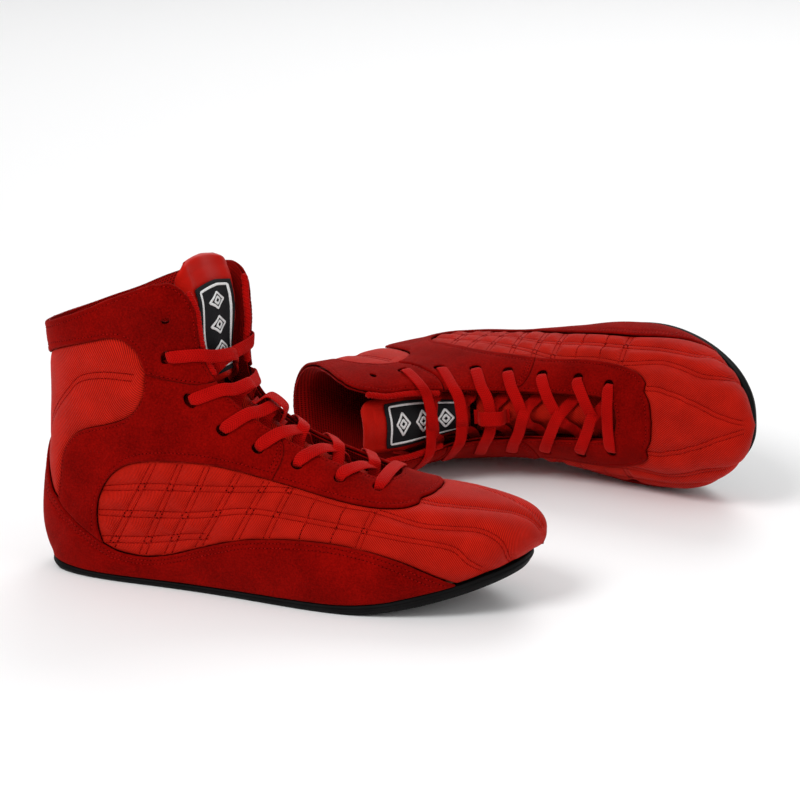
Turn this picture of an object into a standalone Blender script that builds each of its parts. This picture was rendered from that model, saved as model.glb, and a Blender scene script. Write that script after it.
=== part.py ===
"""A pair of laced boxing boots: the right boot stands, the left one lies on its inner side.

A boot is made in its own frame, in millimetres: x runs from the heel to the toe, a runs outwards
(towards the little toe) and z up from the ground. Meshes are metres. Every leather, cloth and foam
piece is a cut-out of one lasted surface, at its own depth, so the pieces nest with small gaps.
"""

import math

import bpy
import numpy as np
from mathutils import Matrix, Vector
from mathutils.geometry import delaunay_2d_cdt

MM = 0.001
WELD_REACH = 0.0001

# ---------------------------------------------------------------- driving dimensions, mm
UPPER = 1.4  # thickness of a leather or twill panel
FOAM_DEPTH = 2.7  # foam and stiffeners start this far under the outer face
FOAM = 1.2
LINING_DEPTH = 5.5
LINING = 0.9
SEAM = 0.6  # gap between two panels that meet edge to edge
SOLE_GAP = 0.5
SOLE_RIM, SOLE_DRAFT = 0.6, 1.6  # how far the outsole stands out, and how much its lower rim draws in
BED_GAP = 0.3
TOE_SPRING = 28.0  # height of the sole's tip over the ground
BALL_X = 195.0  # where the sole starts to rise
TREAD_X = 101.0  # length of the rising part
TOE_CURVE = 1.53
HEEL_RISE, HEEL_X = 2.5, 12.0  # the small bevel under the back of the heel, and where it starts
BOARD = 2.0
FOOTBED = 4.0
INNER_INSET = 7.6  # the insole's edge from the edge of the upper
HOLE, SPARE_HOLE = 3.1, 2.2  # radius of a lace hole, and of the unused one at the top
LACE_HALF, LACE_THICK = 3.7, 1.3
PANEL_STEP, LINING_STEP, SLAB_STEP = 15.0, 20.0, 20.0  # mesh spacing
TIP_EDGE = 0.02
FINE = 1.6  # how much closer the mesh is round the toe tip and the heel

# Where each boot is, how its soft shaft is turned and how far its two flaps are spread.
# flare opens the whole front of a flap and tip its top corner, each (outer, inner); slide and lean are the tongue's.
RIGHT = dict(
    name="right", mirror=-1, at=(-210.0, -96.0, 0.0), turn=(0.0, 0.0, -16.8),
    twist=8.0, flare=(0.0, 13.0), tip=(11.0, 6.0), slide=0.0, lean=7.0,
)
LEFT = dict(
    name="left", mirror=1, at=(24.3, 214.7, 30.8), turn=(88.8, -5.1, -44.1),
    twist=0.0, flare=(7.0, 9.0), tip=(0.0, 0.0), slide=-15.0, lean=0.0,
)

# Sections of the last from the toe tip, over the instep, to above the collar: bottom x and z, top x and z,
# half width of the sole edge (outer, inner side), greatest half width (outer, inner side), squareness.
SECTIONS = np.array([
    (289.0, 32.0, 296.0, 38.0, 0.0, 0.0, 0.0, 0.0, 2.3),
    (288.7, 31.8, 297.0, 42.0, 7.0, 6.5, 9.0, 8.5, 2.3),
    (286.5, 30.8, 296.0, 46.5, 14.0, 13.0, 16.5, 16.0, 2.3),
    (281.5, 28.8, 292.0, 51.5, 21.0, 19.5, 24.0, 23.0, 2.3),
    (272.0, 25.5, 283.0, 56.5, 29.0, 27.5, 32.5, 31.0, 2.3),
    (257.0, 20.2, 267.0, 60.5, 36.5, 36.0, 40.5, 40.0, 2.25),
    (238.0, 14.6, 246.0, 64.0, 42.5, 43.0, 46.5, 46.5, 2.2),
    (216.0, 8.8, 222.0, 68.5, 46.5, 46.5, 50.0, 49.5, 2.05),
    (194.0, 6.0, 200.0, 75.0, 48.0, 45.5, 51.0, 49.0, 1.95),
    (172.0, 5.3, 180.0, 83.0, 46.5, 41.5, 50.0, 46.0, 1.85),
    (150.0, 5.0, 161.0, 92.0, 43.0, 36.5, 47.0, 42.0, 1.8),
    (127.0, 4.7, 144.0, 103.0, 39.0, 32.5, 44.0, 39.0, 1.8),
    (102.0, 4.5, 129.5, 115.0, 35.5, 30.0, 41.5, 37.5, 1.85),
    (76.0, 4.3, 120.0, 127.0, 33.0, 29.5, 39.5, 37.0, 1.95),
    (50.0, 4.2, 114.5, 139.0, 31.0, 29.5, 38.0, 36.5, 2.1),
    (25.0, 4.5, 111.5, 148.5, 26.0, 25.5, 37.0, 36.0, 2.2),
    (8.0, 6.0, 109.5, 156.5, 15.0, 15.0, 36.0, 35.5, 2.25),
    (2.5, 9.0, 108.0, 163.0, 0.0, 0.0, 35.0, 35.0, 2.25),
    (-1.5, 24.0, 106.5, 169.0, 0.0, 0.0, 34.5, 34.5, 2.25),
    (-0.5, 46.0, 104.5, 174.5, 0.0, 0.0, 34.5, 34.5, 2.25),
    (2.5, 70.0, 102.5, 180.0, 0.0, 0.0, 34.5, 34.5, 2.25),
    (4.6, 96.0, 100.0, 186.0, 0.0, 0.0, 34.5, 34.5, 2.25),
    (3.5, 124.0, 97.5, 192.0, 0.0, 0.0, 34.5, 34.5, 2.25),
    (-0.5, 153.0, 95.0, 199.0, 0.0, 0.0, 35.0, 35.0, 2.25),
    (-4.0, 182.0, 93.0, 206.0, 0.0, 0.0, 35.5, 35.5, 2.25),
])
LAST = len(SECTIONS) - 1
HEEL = 16.95  # the section where the sole's edge ends, round the heel

# Seams and edges in the side view: the spacing of their mesh points, then the x and z they pass through.
# The inner side has the same seams. Panels that meet share a line, and so its mesh points.
COLLAR_TOP = (11.0, [(-0.6, 144.0), (10.0, 147.5), (24.0, 153.0), (37.0, 158.0), (50.0, 164.0), (62.0, 171.0),
                     (70.0, 176.0), (77.0, 179.5)])
COLLAR_LOW = (9.0, [(3.5, 125.0), (14.0, 131.5), (29.0, 137.0), (46.0, 142.0), (57.0, 145.0), (64.0, 144.5),
                    (71.0, 139.5), (75.5, 132.5), (77.5, 125.5)])
COLLAR_FRONT = (9.0, [(77.5, 125.5), (86.0, 124.0), (97.0, 122.0), (107.0, 120.5)])
ANKLE_EDGE = (9.0, [(77.5, 125.5), (76.0, 114.5), (72.0, 106.0), (63.5, 99.0), (52.0, 94.5), (41.0, 91.5),
                    (32.0, 87.5), (24.5, 80.0), (20.0, 71.0), (18.5, 61.5), (17.0, 53.0), (16.0, 45.5)])
HEEL_TOP = (7.0, [(3.3, 78.0), (5.0, 67.0), (8.0, 56.5), (11.5, 49.5), (16.0, 45.5)])
RAND_BACK = (9.0, [(16.0, 45.5), (20.0, 40.5), (25.0, 36.5), (31.0, 32.5), (38.5, 28.0), (45.5, 23.5)])
RAND_TOP = (13.0, [(45.5, 23.5), (56.0, 19.5), (73.0, 18.5), (91.0, 22.5), (110.0, 29.5), (133.0, 36.5),
                   (158.0, 40.0), (182.0, 41.0), (206.0, 39.0), (227.0, 34.5), (240.0, 29.5), (250.0, 24.5),
                   (256.5, 20.6)])
QUILT_BACK = (12.0, [(45.5, 23.5), (43.0, 34.0), (43.0, 44.0), (45.0, 53.0), (50.0, 62.5), (58.0, 70.0),
                     (69.0, 74.5), (90.0, 77.0), (112.0, 76.8), (129.0, 74.5), (149.0, 70.5)])
EYESTAY_LOW = (12.0, [(149.0, 70.5), (166.0, 67.0), (183.0, 63.5), (198.0, 61.0), (212.0, 59.8),
                      (224.0, 60.3), (232.0, 62.3)])
EYESTAY_SEAM = (8.0, [(149.0, 70.5), (153.0, 80.0), (152.5, 87.5), (147.0, 94.0)])
STIFFENER_TOP = (9.0, [(1.0, 62.0), (8.0, 60.0), (20.0, 54.0), (36.0, 42.0), (50.0, 26.0), (56.0, 15.0)])
FOAM_TOP = (9.0, [(0.2, 138.0), (24.0, 147.0), (50.0, 157.0), (66.0, 166.0)])
FOAM_FRONT = (12.0, [(66.0, 166.0), (71.0, 148.0), (66.0, 126.0), (58.0, 108.0)])
FOAM_LOW = (9.0, [(58.0, 108.0), (40.0, 99.0), (20.0, 92.0), (4.3, 88.0)])

# Throat coordinates: length along the crest from the toe tip, and length across it.
HOLES = [(102.0, 22.0), (123.0, 26.0), (147.0, 28.5), (168.0, 32.0), (187.0, 36.0), (205.0, 38.5),
         (226.0, 40.0), (247.0, 39.5)]
THROAT_EDGE = [(96.0, 0.0), (97.5, 7.0), (101.0, 12.0), (108.0, 14.0), (123.0, 15.0), (147.0, 16.0),
               (168.0, 17.0), (187.0, 18.0), (205.0, 19.0), (226.0, 21.0), (247.0, 22.5), (262.0, 26.0)]
FLAP_TIP = [(266.0, 28.5), (271.0, 33.5), (272.5, 41.0)]  # the rounded top corner of a collar flap
EYESTAY_TIP = [(78.0, 19.0), (73.5, 11.0), (72.0, 0.0)]  # the foot of the lace stay
THROAT_START, STAY_END, QUARTER_END, FLAP_END = 96.0, 165.0, 206.0, 258.0  # where the throat's panels meet
STAY_HOLES, QUARTER_HOLES, USED_HOLES = 3, 6, 7  # counted from the toe

# Under the panels. Sections are counted from the toe tip; a share runs from the crest to the sole's edge.
PUFF_FRONT, PUFF_BACK, PUFF_SHARE = 2.4, 4.5, 0.52
STIFFENER_FRONT, STIFFENER_LIFT = 13.8, 8.0
LINING_SEAM = 160.0  # where the two linings meet, along the crest from the toe tip
LINING_HOLE = 4.1
LINING_GAP = 0.3

# The tongue, in throat coordinates: rows of length and half width.
TONGUE_DEPTH = 11.6  # depth of the tongue's face beside the throat
TONGUE_THICK = 3.4
TONGUE_DROP = 0.8  # how much deeper its edges are
TONGUE_CROWN = 4.0  # how far it stands up in the throat
TONGUE_SPLIT = 203.0  # the sewn fold that its top bends at
TONGUE_LOW = [(86.0, 13.0), (100.0, 17.0), (120.0, 21.0), (145.0, 23.0), (165.0, 25.0), (184.0, 26.0),
              (202.2, 26.0)]
TONGUE_HIGH = [(206.0, 26.0), (222.0, 26.0), (240.0, 25.5), (255.0, 24.5), (266.0, 22.5), (272.0, 18.0),
               (275.5, 11.0)]
TONGUE_COLUMNS = (-1.0, -0.75, -0.5, -0.3, -0.12, 0.12, 0.3, 0.5, 0.75, 1.0)
LABEL_SPAN, LABEL_HALF = (208.5, 259.0), 13.5
LABEL_LIFT, LABEL_THICK = 1.75, 0.6

# The lace's tail inside the boot, in the side view, and heights of the lace over the outer face.
TAIL = [(76.0, 128.0), (70.0, 108.0), (68.0, 88.0), (74.0, 66.0), (88.0, 46.0), (104.0, 32.0)]
TAIL_DEPTH, TAIL_HALF, TAIL_TIP = 9.2, 3.2, 1.5
ON_TOP = (1, -1, 1, 1, -1, 1)  # which half of the lace is on top at each crossing, from the toe upwards
OVER_LIFT, UNDER_LIFT = 0.95, -1.9  # at a crossing
FACE_LIFT, UNDER_FLAP = 1.95, -8.4  # on the flap, and under it
HOLE_HALF = 1.7  # half width where the lace is gathered in a hole
AGLET, AGLET_RADIUS, AGLET_GAP = 20.0, 1.6, 0.3
LOOP_RUN = (-11.0, -8.6, -8.2, -5.5, 5.5, 8.2, 8.6, 11.0)  # the keeper's stations along the crest
LOOP_LIFT = (-5.0, -5.0, -2.5, 3.9, 3.9, -2.5, -5.0, -5.0)
LOOP_HALF, LOOP_THICK = 4.6, 0.9
PIPING_RADIUS, PIPING_DEPTH, PIPING_SPAN = 1.9, 2.7, (209.0, 262.0)

SUEDE = ("suede", (0.20, 0.004, 0.003, 1.0), 0.9)
TWILL = ("twill", (0.42, 0.012, 0.006, 1.0), 0.6)
MESH = ("lining_mesh", (0.30, 0.008, 0.005, 1.0), 0.85)
WEBBING = ("lace_weave", (0.38, 0.006, 0.004, 1.0), 0.7)
RUBBER = ("sole_rubber", (0.012, 0.012, 0.013, 1.0), 0.55)
FOAM_GREY = ("foam", (0.25, 0.23, 0.22, 1.0), 0.95)
BOARD_TAN = ("fibre_board", (0.45, 0.33, 0.2, 1.0), 0.8)
LABEL_BLACK = ("label_cloth", (0.01, 0.01, 0.011, 1.0), 0.75)
CLEAR_TIP = ("aglet_plastic", (0.35, 0.02, 0.02, 1.0), 0.25)


# ---------------------------------------------------------------- the lasted surface
def spline_moments(rows):
    """Second derivatives of the natural cubic spline through the rows."""
    system = np.eye(len(rows))
    right = np.zeros_like(rows)
    for i in range(1, len(rows) - 1):
        system[i, i - 1:i + 2] = 1, 4, 1
        right[i] = 6 * (rows[i - 1] - 2 * rows[i] + rows[i + 1])
    return np.linalg.solve(system, right)


MOMENTS = spline_moments(SECTIONS)


def section_at(u):
    u = np.clip(np.asarray(u, float), 0, LAST)
    i = np.minimum(u.astype(int), LAST - 1)
    t = (u - i)[..., None]
    s = 1 - t
    bend_terms = ((s**3 - s) * MOMENTS[i] + (t**3 - t) * MOMENTS[i + 1]) / 6
    return s * SECTIONS[i] + t * SECTIONS[i + 1] + bend_terms


def start_angle(foot, wide, n):
    """The angle on the section's oval where the sole edge cuts it."""
    return -np.arccos(np.clip(foot / wide, 0, 1) ** (n / 2))


def shape(u, m):
    """Points of the last: u counts sections, m runs -1 (inner edge), 0 (crest), 1 (outer edge)."""
    k = section_at(u)
    side = np.where(m < 0, -1.0, 1.0)
    foot = np.where(side > 0, k[..., 4], k[..., 5]).clip(0)
    wide = np.where(side > 0, k[..., 6], k[..., 7]).clip(0.02)
    n = k[..., 8]
    start = start_angle(foot, wide, n)
    angle = start + (np.pi / 2 - start) * (1 - np.abs(m))
    low = -np.abs(np.sin(start)) ** (2 / n)
    sine = np.sin(angle)
    rise = (np.sign(sine) * np.abs(sine) ** (2 / n) - low) / (1 - low)
    across = wide * np.cos(angle).clip(0) ** (2 / n)
    x = k[..., 0] + rise * (k[..., 2] - k[..., 0])
    z = k[..., 1] + rise * (k[..., 3] - k[..., 1])
    return np.stack([x, side * across, z], -1)


def ramp(value, low, high):
    t = np.clip((value - low) / (high - low), 0, 1)
    return t * t * (3 - 2 * t)


def bend(points, boot):
    """Turns the soft shaft about the leg and spreads its two flaps."""
    x, a, z = points[..., 0], points[..., 1], points[..., 2]
    front = ramp(x, 50, 95) * ramp(z, 95, 150)
    outer, inner = boot["flare"]
    top_front = ramp(x, 50, 80) * ramp(z, 130, 172)
    tip_out, tip_in = boot["tip"]
    spread_out = (front * outer + top_front * tip_out) * ramp(a, 2, 24)
    spread_in = (front * inner + top_front * tip_in) * ramp(-a, 2, 24)
    x = x + spread_out + spread_in
    a = a + 0.45 * (spread_out - spread_in)
    angle = np.radians(boot["twist"]) * ramp(z, 60, 150)
    ahead = x - 60
    turned_x = 60 + ahead * np.cos(angle) - a * np.sin(angle)
    turned_a = ahead * np.sin(angle) + a * np.cos(angle)
    return np.stack([turned_x, turned_a, z], -1)


def skin(boot, u, m, lift):
    """Points lift millimetres outside the last, and the outward normals there."""
    u, m, lift = np.broadcast_arrays(np.asarray(u, float), np.asarray(m, float), np.asarray(lift, float))
    du, dm = 0.02, 0.004
    along = bend(shape(np.clip(u + du, 0, LAST), m), boot) - bend(shape(np.clip(u - du, 0, LAST), m), boot)
    across = bend(shape(u, np.clip(m + dm, -1, 1)), boot) - bend(shape(u, np.clip(m - dm, -1, 1)), boot)
    normal = np.cross(across, along)
    normal /= np.linalg.norm(normal, axis=-1, keepdims=True).clip(1e-12)
    return bend(shape(u, m), boot) + normal * lift[..., None], normal


# ---------------------------------------------------------------- lengths on the surface
U_TABLE = np.linspace(0, LAST, LAST * 12 + 1)
M_TABLE = np.linspace(0, 1, 97)


def girth_rows(side):
    grid = shape(U_TABLE[:, None], side * np.maximum(M_TABLE, 1e-9)[None, :])
    step = np.linalg.norm(np.diff(grid, axis=1), axis=-1)
    return np.concatenate([np.zeros((len(grid), 1)), np.cumsum(step, axis=1)], axis=1)


GIRTH = {1: girth_rows(1), -1: girth_rows(-1)}


def running_length(points):
    return np.concatenate([[0], np.cumsum(np.linalg.norm(np.diff(points, axis=0), axis=1))])


ROWS = section_at(U_TABLE)
RUN = running_length(shape(U_TABLE, np.full(len(U_TABLE), 0.6)))
CREST = ROWS[:, 2:4]
CREST_RUN = running_length(CREST)


def between_rows(table, u):
    place = np.clip(np.asarray(u, float) / LAST, 0, 1) * (len(U_TABLE) - 1)
    i = np.minimum(place.astype(int), len(U_TABLE) - 2)
    f = (place - i)[..., None]
    return table[i] * (1 - f) + table[i + 1] * f


def girth_of(u, m):
    """Signed length from the crest to m, along section u."""
    out = np.empty(len(u))
    for side in (1, -1):
        pick = (m >= 0) == (side > 0)
        rows = between_rows(GIRTH[side], u[pick])
        place = np.abs(m[pick]) * (len(M_TABLE) - 1)
        i = np.minimum(place.astype(int), len(M_TABLE) - 2)
        f = place - i
        r = np.arange(len(i))
        out[pick] = side * (rows[r, i] * (1 - f) + rows[r, i + 1] * f)
    return out


def m_of_girth(u, girth):
    out = np.empty(len(u))
    for side in (1, -1):
        pick = (girth >= 0) == (side > 0)
        rows = between_rows(GIRTH[side], u[pick])
        length = np.abs(girth[pick])
        i = np.clip((rows <= length[:, None]).sum(1) - 1, 0, len(M_TABLE) - 2)
        r = np.arange(len(i))
        f = (length - rows[r, i]) / (rows[r, i + 1] - rows[r, i]).clip(1e-9)
        out[pick] = side * np.clip((i + f) / (len(M_TABLE) - 1), 0, 1)
    return out


def from_side(x, z, side):
    """Side-view points to (u, m) on one side of the boot."""
    base, tip = ROWS[:, :2], ROWS[:, 2:4]
    line = tip - base
    size = np.hypot(line[:, 0], line[:, 1])
    px, pz = x[:, None] - base[:, 0], z[:, None] - base[:, 1]
    cross = (px * line[:, 1] - pz * line[:, 0]) / size
    along = (px * line[:, 0] + pz * line[:, 1]) / size**2
    inside = (along > -0.1) & (along < 1.1)
    change = (cross[:, :-1] * cross[:, 1:] <= 0) & inside[:, :-1]
    nearest = np.minimum((np.abs(cross) + 1e3 * ~inside).argmin(1), len(U_TABLE) - 2)
    i = np.where(change.any(1), change.argmax(1), nearest)
    r = np.arange(len(x))
    f = np.clip(cross[r, i] / (cross[r, i] - cross[r, i + 1] + 1e-12), 0, 1)
    u = U_TABLE[i] + f * (U_TABLE[i + 1] - U_TABLE[i])
    rise = np.clip(along[r, i] * (1 - f) + along[r, i + 1] * f, 0, 1)
    k = section_at(u)
    foot, wide = k[:, 4 if side > 0 else 5].clip(0), k[:, 6 if side > 0 else 7].clip(0.02)
    start = start_angle(foot, wide, k[:, 8])
    low = -np.abs(np.sin(start)) ** (2 / k[:, 8])
    level = low + (1 - low) * rise
    angle = np.sign(level) * np.arcsin(np.clip(np.abs(level) ** (k[:, 8] / 2), 0, 1))
    m = 1 - (angle - start) / (np.pi / 2 - start)
    return u, side * np.clip(m, 1e-9, 1)


def crest_at(c):
    """The crest's point at length c, and the direction into the boot there, in the side view."""
    here, ahead, behind = (
        np.stack([np.interp(c + d, CREST_RUN, CREST[:, j]) for j in (0, 1)], -1) for d in (0, 3, -3)
    )
    tangent = ahead - behind
    tangent /= np.linalg.norm(tangent, axis=-1, keepdims=True)
    return here, np.stack([-tangent[..., 1], tangent[..., 0]], -1)


C_TABLE = np.linspace(4, CREST_RUN[-1] - 4, 80)
DEPTHS = 62 * np.linspace(0, 1, 50) ** 2


def throat_rows(side):
    here, inward = crest_at(C_TABLE)
    points = here[:, None, :] + DEPTHS[None, :, None] * inward[:, None, :]
    u, m = from_side(points[..., 0].ravel(), points[..., 1].ravel(), side)
    grid = shape(u, m).reshape(len(C_TABLE), len(DEPTHS), 3)
    step = np.linalg.norm(np.diff(grid, axis=1), axis=-1)
    girth = np.concatenate([np.zeros((len(grid), 1)), np.cumsum(step, axis=1)], axis=1)
    return girth, u.reshape(girth.shape), m.reshape(girth.shape)


THROAT = {side: throat_rows(side) for side in (1, -1)}


def from_throat(c, q):
    """Throat coordinates to (u, m): c along the crest, q across it, plus on the outer side."""
    u_out, m_out = np.empty(len(c)), np.empty(len(c))
    place = np.clip((c - C_TABLE[0]) / (C_TABLE[1] - C_TABLE[0]), 0, len(C_TABLE) - 1.001)
    for side in (1, -1):
        pick = (q >= 0) == (side > 0)
        i = place[pick].astype(int)
        f = (place[pick] - i)[:, None]
        girth, u_rows, m_rows = (table[i] * (1 - f) + table[i + 1] * f for table in THROAT[side])
        length = np.abs(q[pick])
        j = np.clip((girth <= length[:, None]).sum(1) - 1, 0, len(DEPTHS) - 2)
        r = np.arange(len(j))
        w = (length - girth[r, j]) / (girth[r, j + 1] - girth[r, j]).clip(1e-9)
        u_out[pick] = u_rows[r, j] * (1 - w) + u_rows[r, j + 1] * w
        m_out[pick] = m_rows[r, j] * (1 - w) + m_rows[r, j + 1] * w
    return u_out, m_out


# ---------------------------------------------------------------- flat patterns of the surface
# A pattern lays (u, m) out flat in millimetres. OVER joins the two sides at the crest, ROUND joins
# them at the back of the heel, and THROAT_PATTERN is the neighbourhood of the lacing.
def over_flat(u, m):
    return np.stack([np.interp(u, U_TABLE, RUN), girth_of(u, m)], -1)


def over_surface(p):
    u = np.interp(p[:, 0], RUN, U_TABLE)
    return u, m_of_girth(u, p[:, 1])


def sole_half(u, side):
    return section_at(u)[..., 4 if side > 0 else 5].clip(0)


def round_flat(u, m):
    side = np.where(m < 0, -1.0, 1.0)
    whole = np.where(m < 0, -girth_of(u, np.full_like(u, -1.0)), girth_of(u, np.ones_like(u)))
    sole = np.where(m < 0, sole_half(u, -1), sole_half(u, 1))
    return np.stack([np.interp(u, U_TABLE, RUN), side * (whole - np.abs(girth_of(u, m)) + sole)], -1)


def round_surface(p):
    u = np.interp(p[:, 0], RUN, U_TABLE)
    side = np.where(p[:, 1] < 0, -1.0, 1.0)
    whole = np.where(side < 0, -girth_of(u, np.full_like(u, -1.0)), girth_of(u, np.ones_like(u)))
    sole = np.where(side < 0, sole_half(u, -1), sole_half(u, 1))
    length = np.clip(whole - (np.abs(p[:, 1]) - sole), 1e-6, whole)
    return u, m_of_girth(u, side * length)


OVER = (over_flat, over_surface)
ROUND = (round_flat, round_surface)


def smooth_line(points, step):
    """A Catmull-Rom line through the points, with evenly spaced points about a step apart."""
    p = np.array(points, float)
    p = np.vstack([2 * p[0] - p[1], p, 2 * p[-1] - p[-2]])
    t = np.linspace(0, 1, 12, endpoint=False)[:, None]
    out = []
    for a, b, c, d in zip(p, p[1:], p[2:], p[3:]):
        square, cube = 2 * a - 5 * b + 4 * c - d, 3 * b - a - 3 * c + d
        out.append(0.5 * (2 * b + (c - a) * t + square * t**2 + cube * t**3))
    line = np.vstack(out + [p[-2][None]])
    run = running_length(line)
    even = np.linspace(0, run[-1], max(2, int(round(run[-1] / step)) + 1))
    return np.stack([np.interp(even, run, line[:, j]) for j in range(line.shape[1])], -1)


def spaced(u, m, step):
    """Points of the last evenly spaced along a line of them."""
    run = running_length(shape(u, m))
    even = np.linspace(0, run[-1], max(2, int(round(run[-1] / step)) + 1))
    return np.interp(even, run, u), np.interp(even, run, m)


def side_line(pattern, line, side):
    step, points = line
    line = smooth_line(points, 0.3)
    u, m = from_side(line[:, 0], line[:, 1], side)
    return pattern[0](*spaced(u, m, step))


def throat_line(pattern, points, side, step=9.0):
    line = smooth_line(points, step)
    u, m = from_throat(line[:, 0], side * np.maximum(line[:, 1], 1e-6))
    return pattern[0](u, m)


def edge_line(pattern, start, end, side, share=1.0, step=10.0):
    """Along the edge of the upper, where it meets the sole, or a share of the way down to it."""
    u = np.linspace(start, end, 200)
    return pattern[0](*spaced(u, np.full_like(u, side * share), step))


def section_line(pattern, u, start, end, count=7):
    """Across the boot along one section."""
    m = np.linspace(start, end, count)
    return pattern[0](np.full_like(m, u), m)


def joined(*lines):
    """One closed loop of lines whose neighbouring ends meet halfway."""
    lines = [np.array(line) for line in lines]
    for i, line in enumerate(lines):
        following = lines[(i + 1) % len(lines)]
        middle = (line[-1] + following[0]) / 2
        line[-1] = middle
        following[0] = middle
    return np.vstack([line[:-1] for line in lines])


def mirrored(make_half):
    """A closed loop from its outer and inner half, each of them from middle line to middle line."""
    outer, inner = (np.vstack(make_half(side)) for side in (1, -1))
    loop = np.vstack([outer, inner[::-1]])
    keep = np.linalg.norm(loop - np.roll(loop, 1, axis=0), axis=1) > 0.05
    return loop[keep]


def throat_edge_at(c):
    knots = np.array(THROAT_EDGE)
    return np.interp(c, knots[:, 0], knots[:, 1])


def throat_run(low, high):
    """The throat's edge between two lengths along the crest."""
    inner = [p for p in THROAT_EDGE if low < p[0] < high]
    return [(low, throat_edge_at(low))] + inner + [(high, throat_edge_at(high))]


def flap_front(low=QUARTER_END):
    """The front edge of a collar flap, up to its rounded tip."""
    return throat_run(low, FLAP_END) + FLAP_TIP


# ---------------------------------------------------------------- cutting a panel out of a pattern
def area_of(loop):
    nxt = np.roll(loop, -1, axis=0)
    return 0.5 * (loop[:, 0] * nxt[:, 1] - loop[:, 1] * nxt[:, 0]).sum()


def inset(loop, distance):
    """The loop drawn in by a distance, except along the toe tip, where its two sides join."""
    sign = 1 if area_of(loop) > 0 else -1
    back, ahead = loop - np.roll(loop, 1, axis=0), np.roll(loop, -1, axis=0) - loop
    back /= np.linalg.norm(back, axis=1, keepdims=True)
    ahead /= np.linalg.norm(ahead, axis=1, keepdims=True)
    normal = sign * np.stack([-(back[:, 1] + ahead[:, 1]), back[:, 0] + ahead[:, 0]], -1)
    size = np.linalg.norm(normal, axis=1, keepdims=True).clip(0.7)
    moved = loop + distance * 2 * normal / size**2
    return np.where(loop[:, :1] < TIP_EDGE, loop, moved)


def inside(points, loop):
    x, y = points[:, 0][:, None], points[:, 1][:, None]
    nxt = np.roll(loop, -1, axis=0)
    spans = (loop[:, 1] > y) != (nxt[:, 1] > y)
    rise = np.where(nxt[:, 1] == loop[:, 1], 1e-12, nxt[:, 1] - loop[:, 1])
    cut = loop[:, 0] + (y - loop[:, 1]) * (nxt[:, 0] - loop[:, 0]) / rise
    return ((spans & (x < cut)).sum(1) % 2) == 1


def is_tight(u, m):
    """Where the last curves most: the toe tip and the back of the heel."""
    return (u < 5.4) | ((u > 15.2) & (np.abs(m) > 0.7))


def lattice(loop, step):
    low, high = loop.min(0), loop.max(0)
    rows = np.arange(low[1] + step / 2, high[1], step * math.sqrt(3) / 2)
    columns = np.arange(low[0] + step / 4, high[0], step)
    grid = [(x + (step / 2) * (i % 2), y) for i, y in enumerate(rows) for x in columns]
    return np.array(grid).reshape(-1, 2)


def triangulate(loop, holes, step, density=None, fine=FINE):
    """Points and triangles that fill a loop, leaving its holes open."""
    edges_in = [loop] + holes
    rim = np.vstack(edges_in)
    middle = lattice(loop, step)
    reach = np.full(len(middle), step)
    if density is not None:
        close = lattice(loop, step / fine)
        middle, close = middle[density(middle) == 1], close[density(close) > 1]
        reach = np.concatenate([np.full(len(middle), step), np.full(len(close), step / fine)])
        middle = np.vstack([middle, close])
    keep = inside(middle, loop)
    for hole in holes:
        keep &= ~inside(middle, hole)
    near = np.sqrt(((middle[:, None, :] - rim[None]) ** 2).sum(-1)).min(1) if len(middle) else reach
    middle = middle[keep & (near > 0.55 * reach)]
    points = np.vstack([rim, middle])
    edges, first = [], 0
    for ring in edges_in:
        edges += [(first + i, first + (i + 1) % len(ring)) for i in range(len(ring))]
        first += len(ring)
    made = delaunay_2d_cdt([Vector(p) for p in points], edges, [], 0, 1e-6)
    flat = np.array([tuple(p) for p in made[0]])
    faces = np.array(made[2])
    centre = flat[faces].mean(1)
    keep = inside(centre, loop)
    for hole in holes:
        keep &= ~inside(centre, hole)
    corners = flat[faces]
    one, two = corners[:, 1] - corners[:, 0], corners[:, 2] - corners[:, 0]
    size = one[:, 0] * two[:, 1] - one[:, 1] * two[:, 0]
    faces = np.where((size < 0)[:, None], faces[:, ::-1], faces)
    return flat, faces[keep & (np.abs(size) > 1e-5)]


# ---------------------------------------------------------------- objects
PARTS = bpy.data.collections.new("boxing_boots")


def clear_scene():
    for obj in list(bpy.data.objects):
        bpy.data.objects.remove(obj, do_unlink=True)
    bpy.context.scene.collection.children.link(PARTS)


def material(spec):
    name, colour, roughness = spec
    found = bpy.data.materials.get(name)
    if found:
        return found
    made = bpy.data.materials.new(name)
    made.use_nodes = True
    shader = made.node_tree.nodes["Principled BSDF"]
    shader.inputs["Base Color"].default_value = colour
    shader.inputs["Roughness"].default_value = roughness
    made.diffuse_color = colour
    return made


def boot_frame(boot):
    """An empty at the boot's heel; everything in the boot hangs on it."""
    empty = bpy.data.objects.new(boot["name"] + "_boot", None)
    PARTS.objects.link(empty)
    roll, pitch, yaw = (math.radians(v) for v in boot["turn"])
    spin = Matrix.Rotation(yaw, 4, "Z") @ Matrix.Rotation(pitch, 4, "Y") @ Matrix.Rotation(roll, 4, "X")
    empty.matrix_world = Matrix.Translation(Vector(boot["at"]) * MM) @ spin
    boot["empty"] = empty
    boot["hinge"] = None


def to_boot(boot, points):
    """Boot millimetres to the empty's metres; the right boot is the left one's mirror image."""
    return np.stack([points[:, 0], boot["mirror"] * points[:, 1], points[:, 2]], -1) * MM


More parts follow.
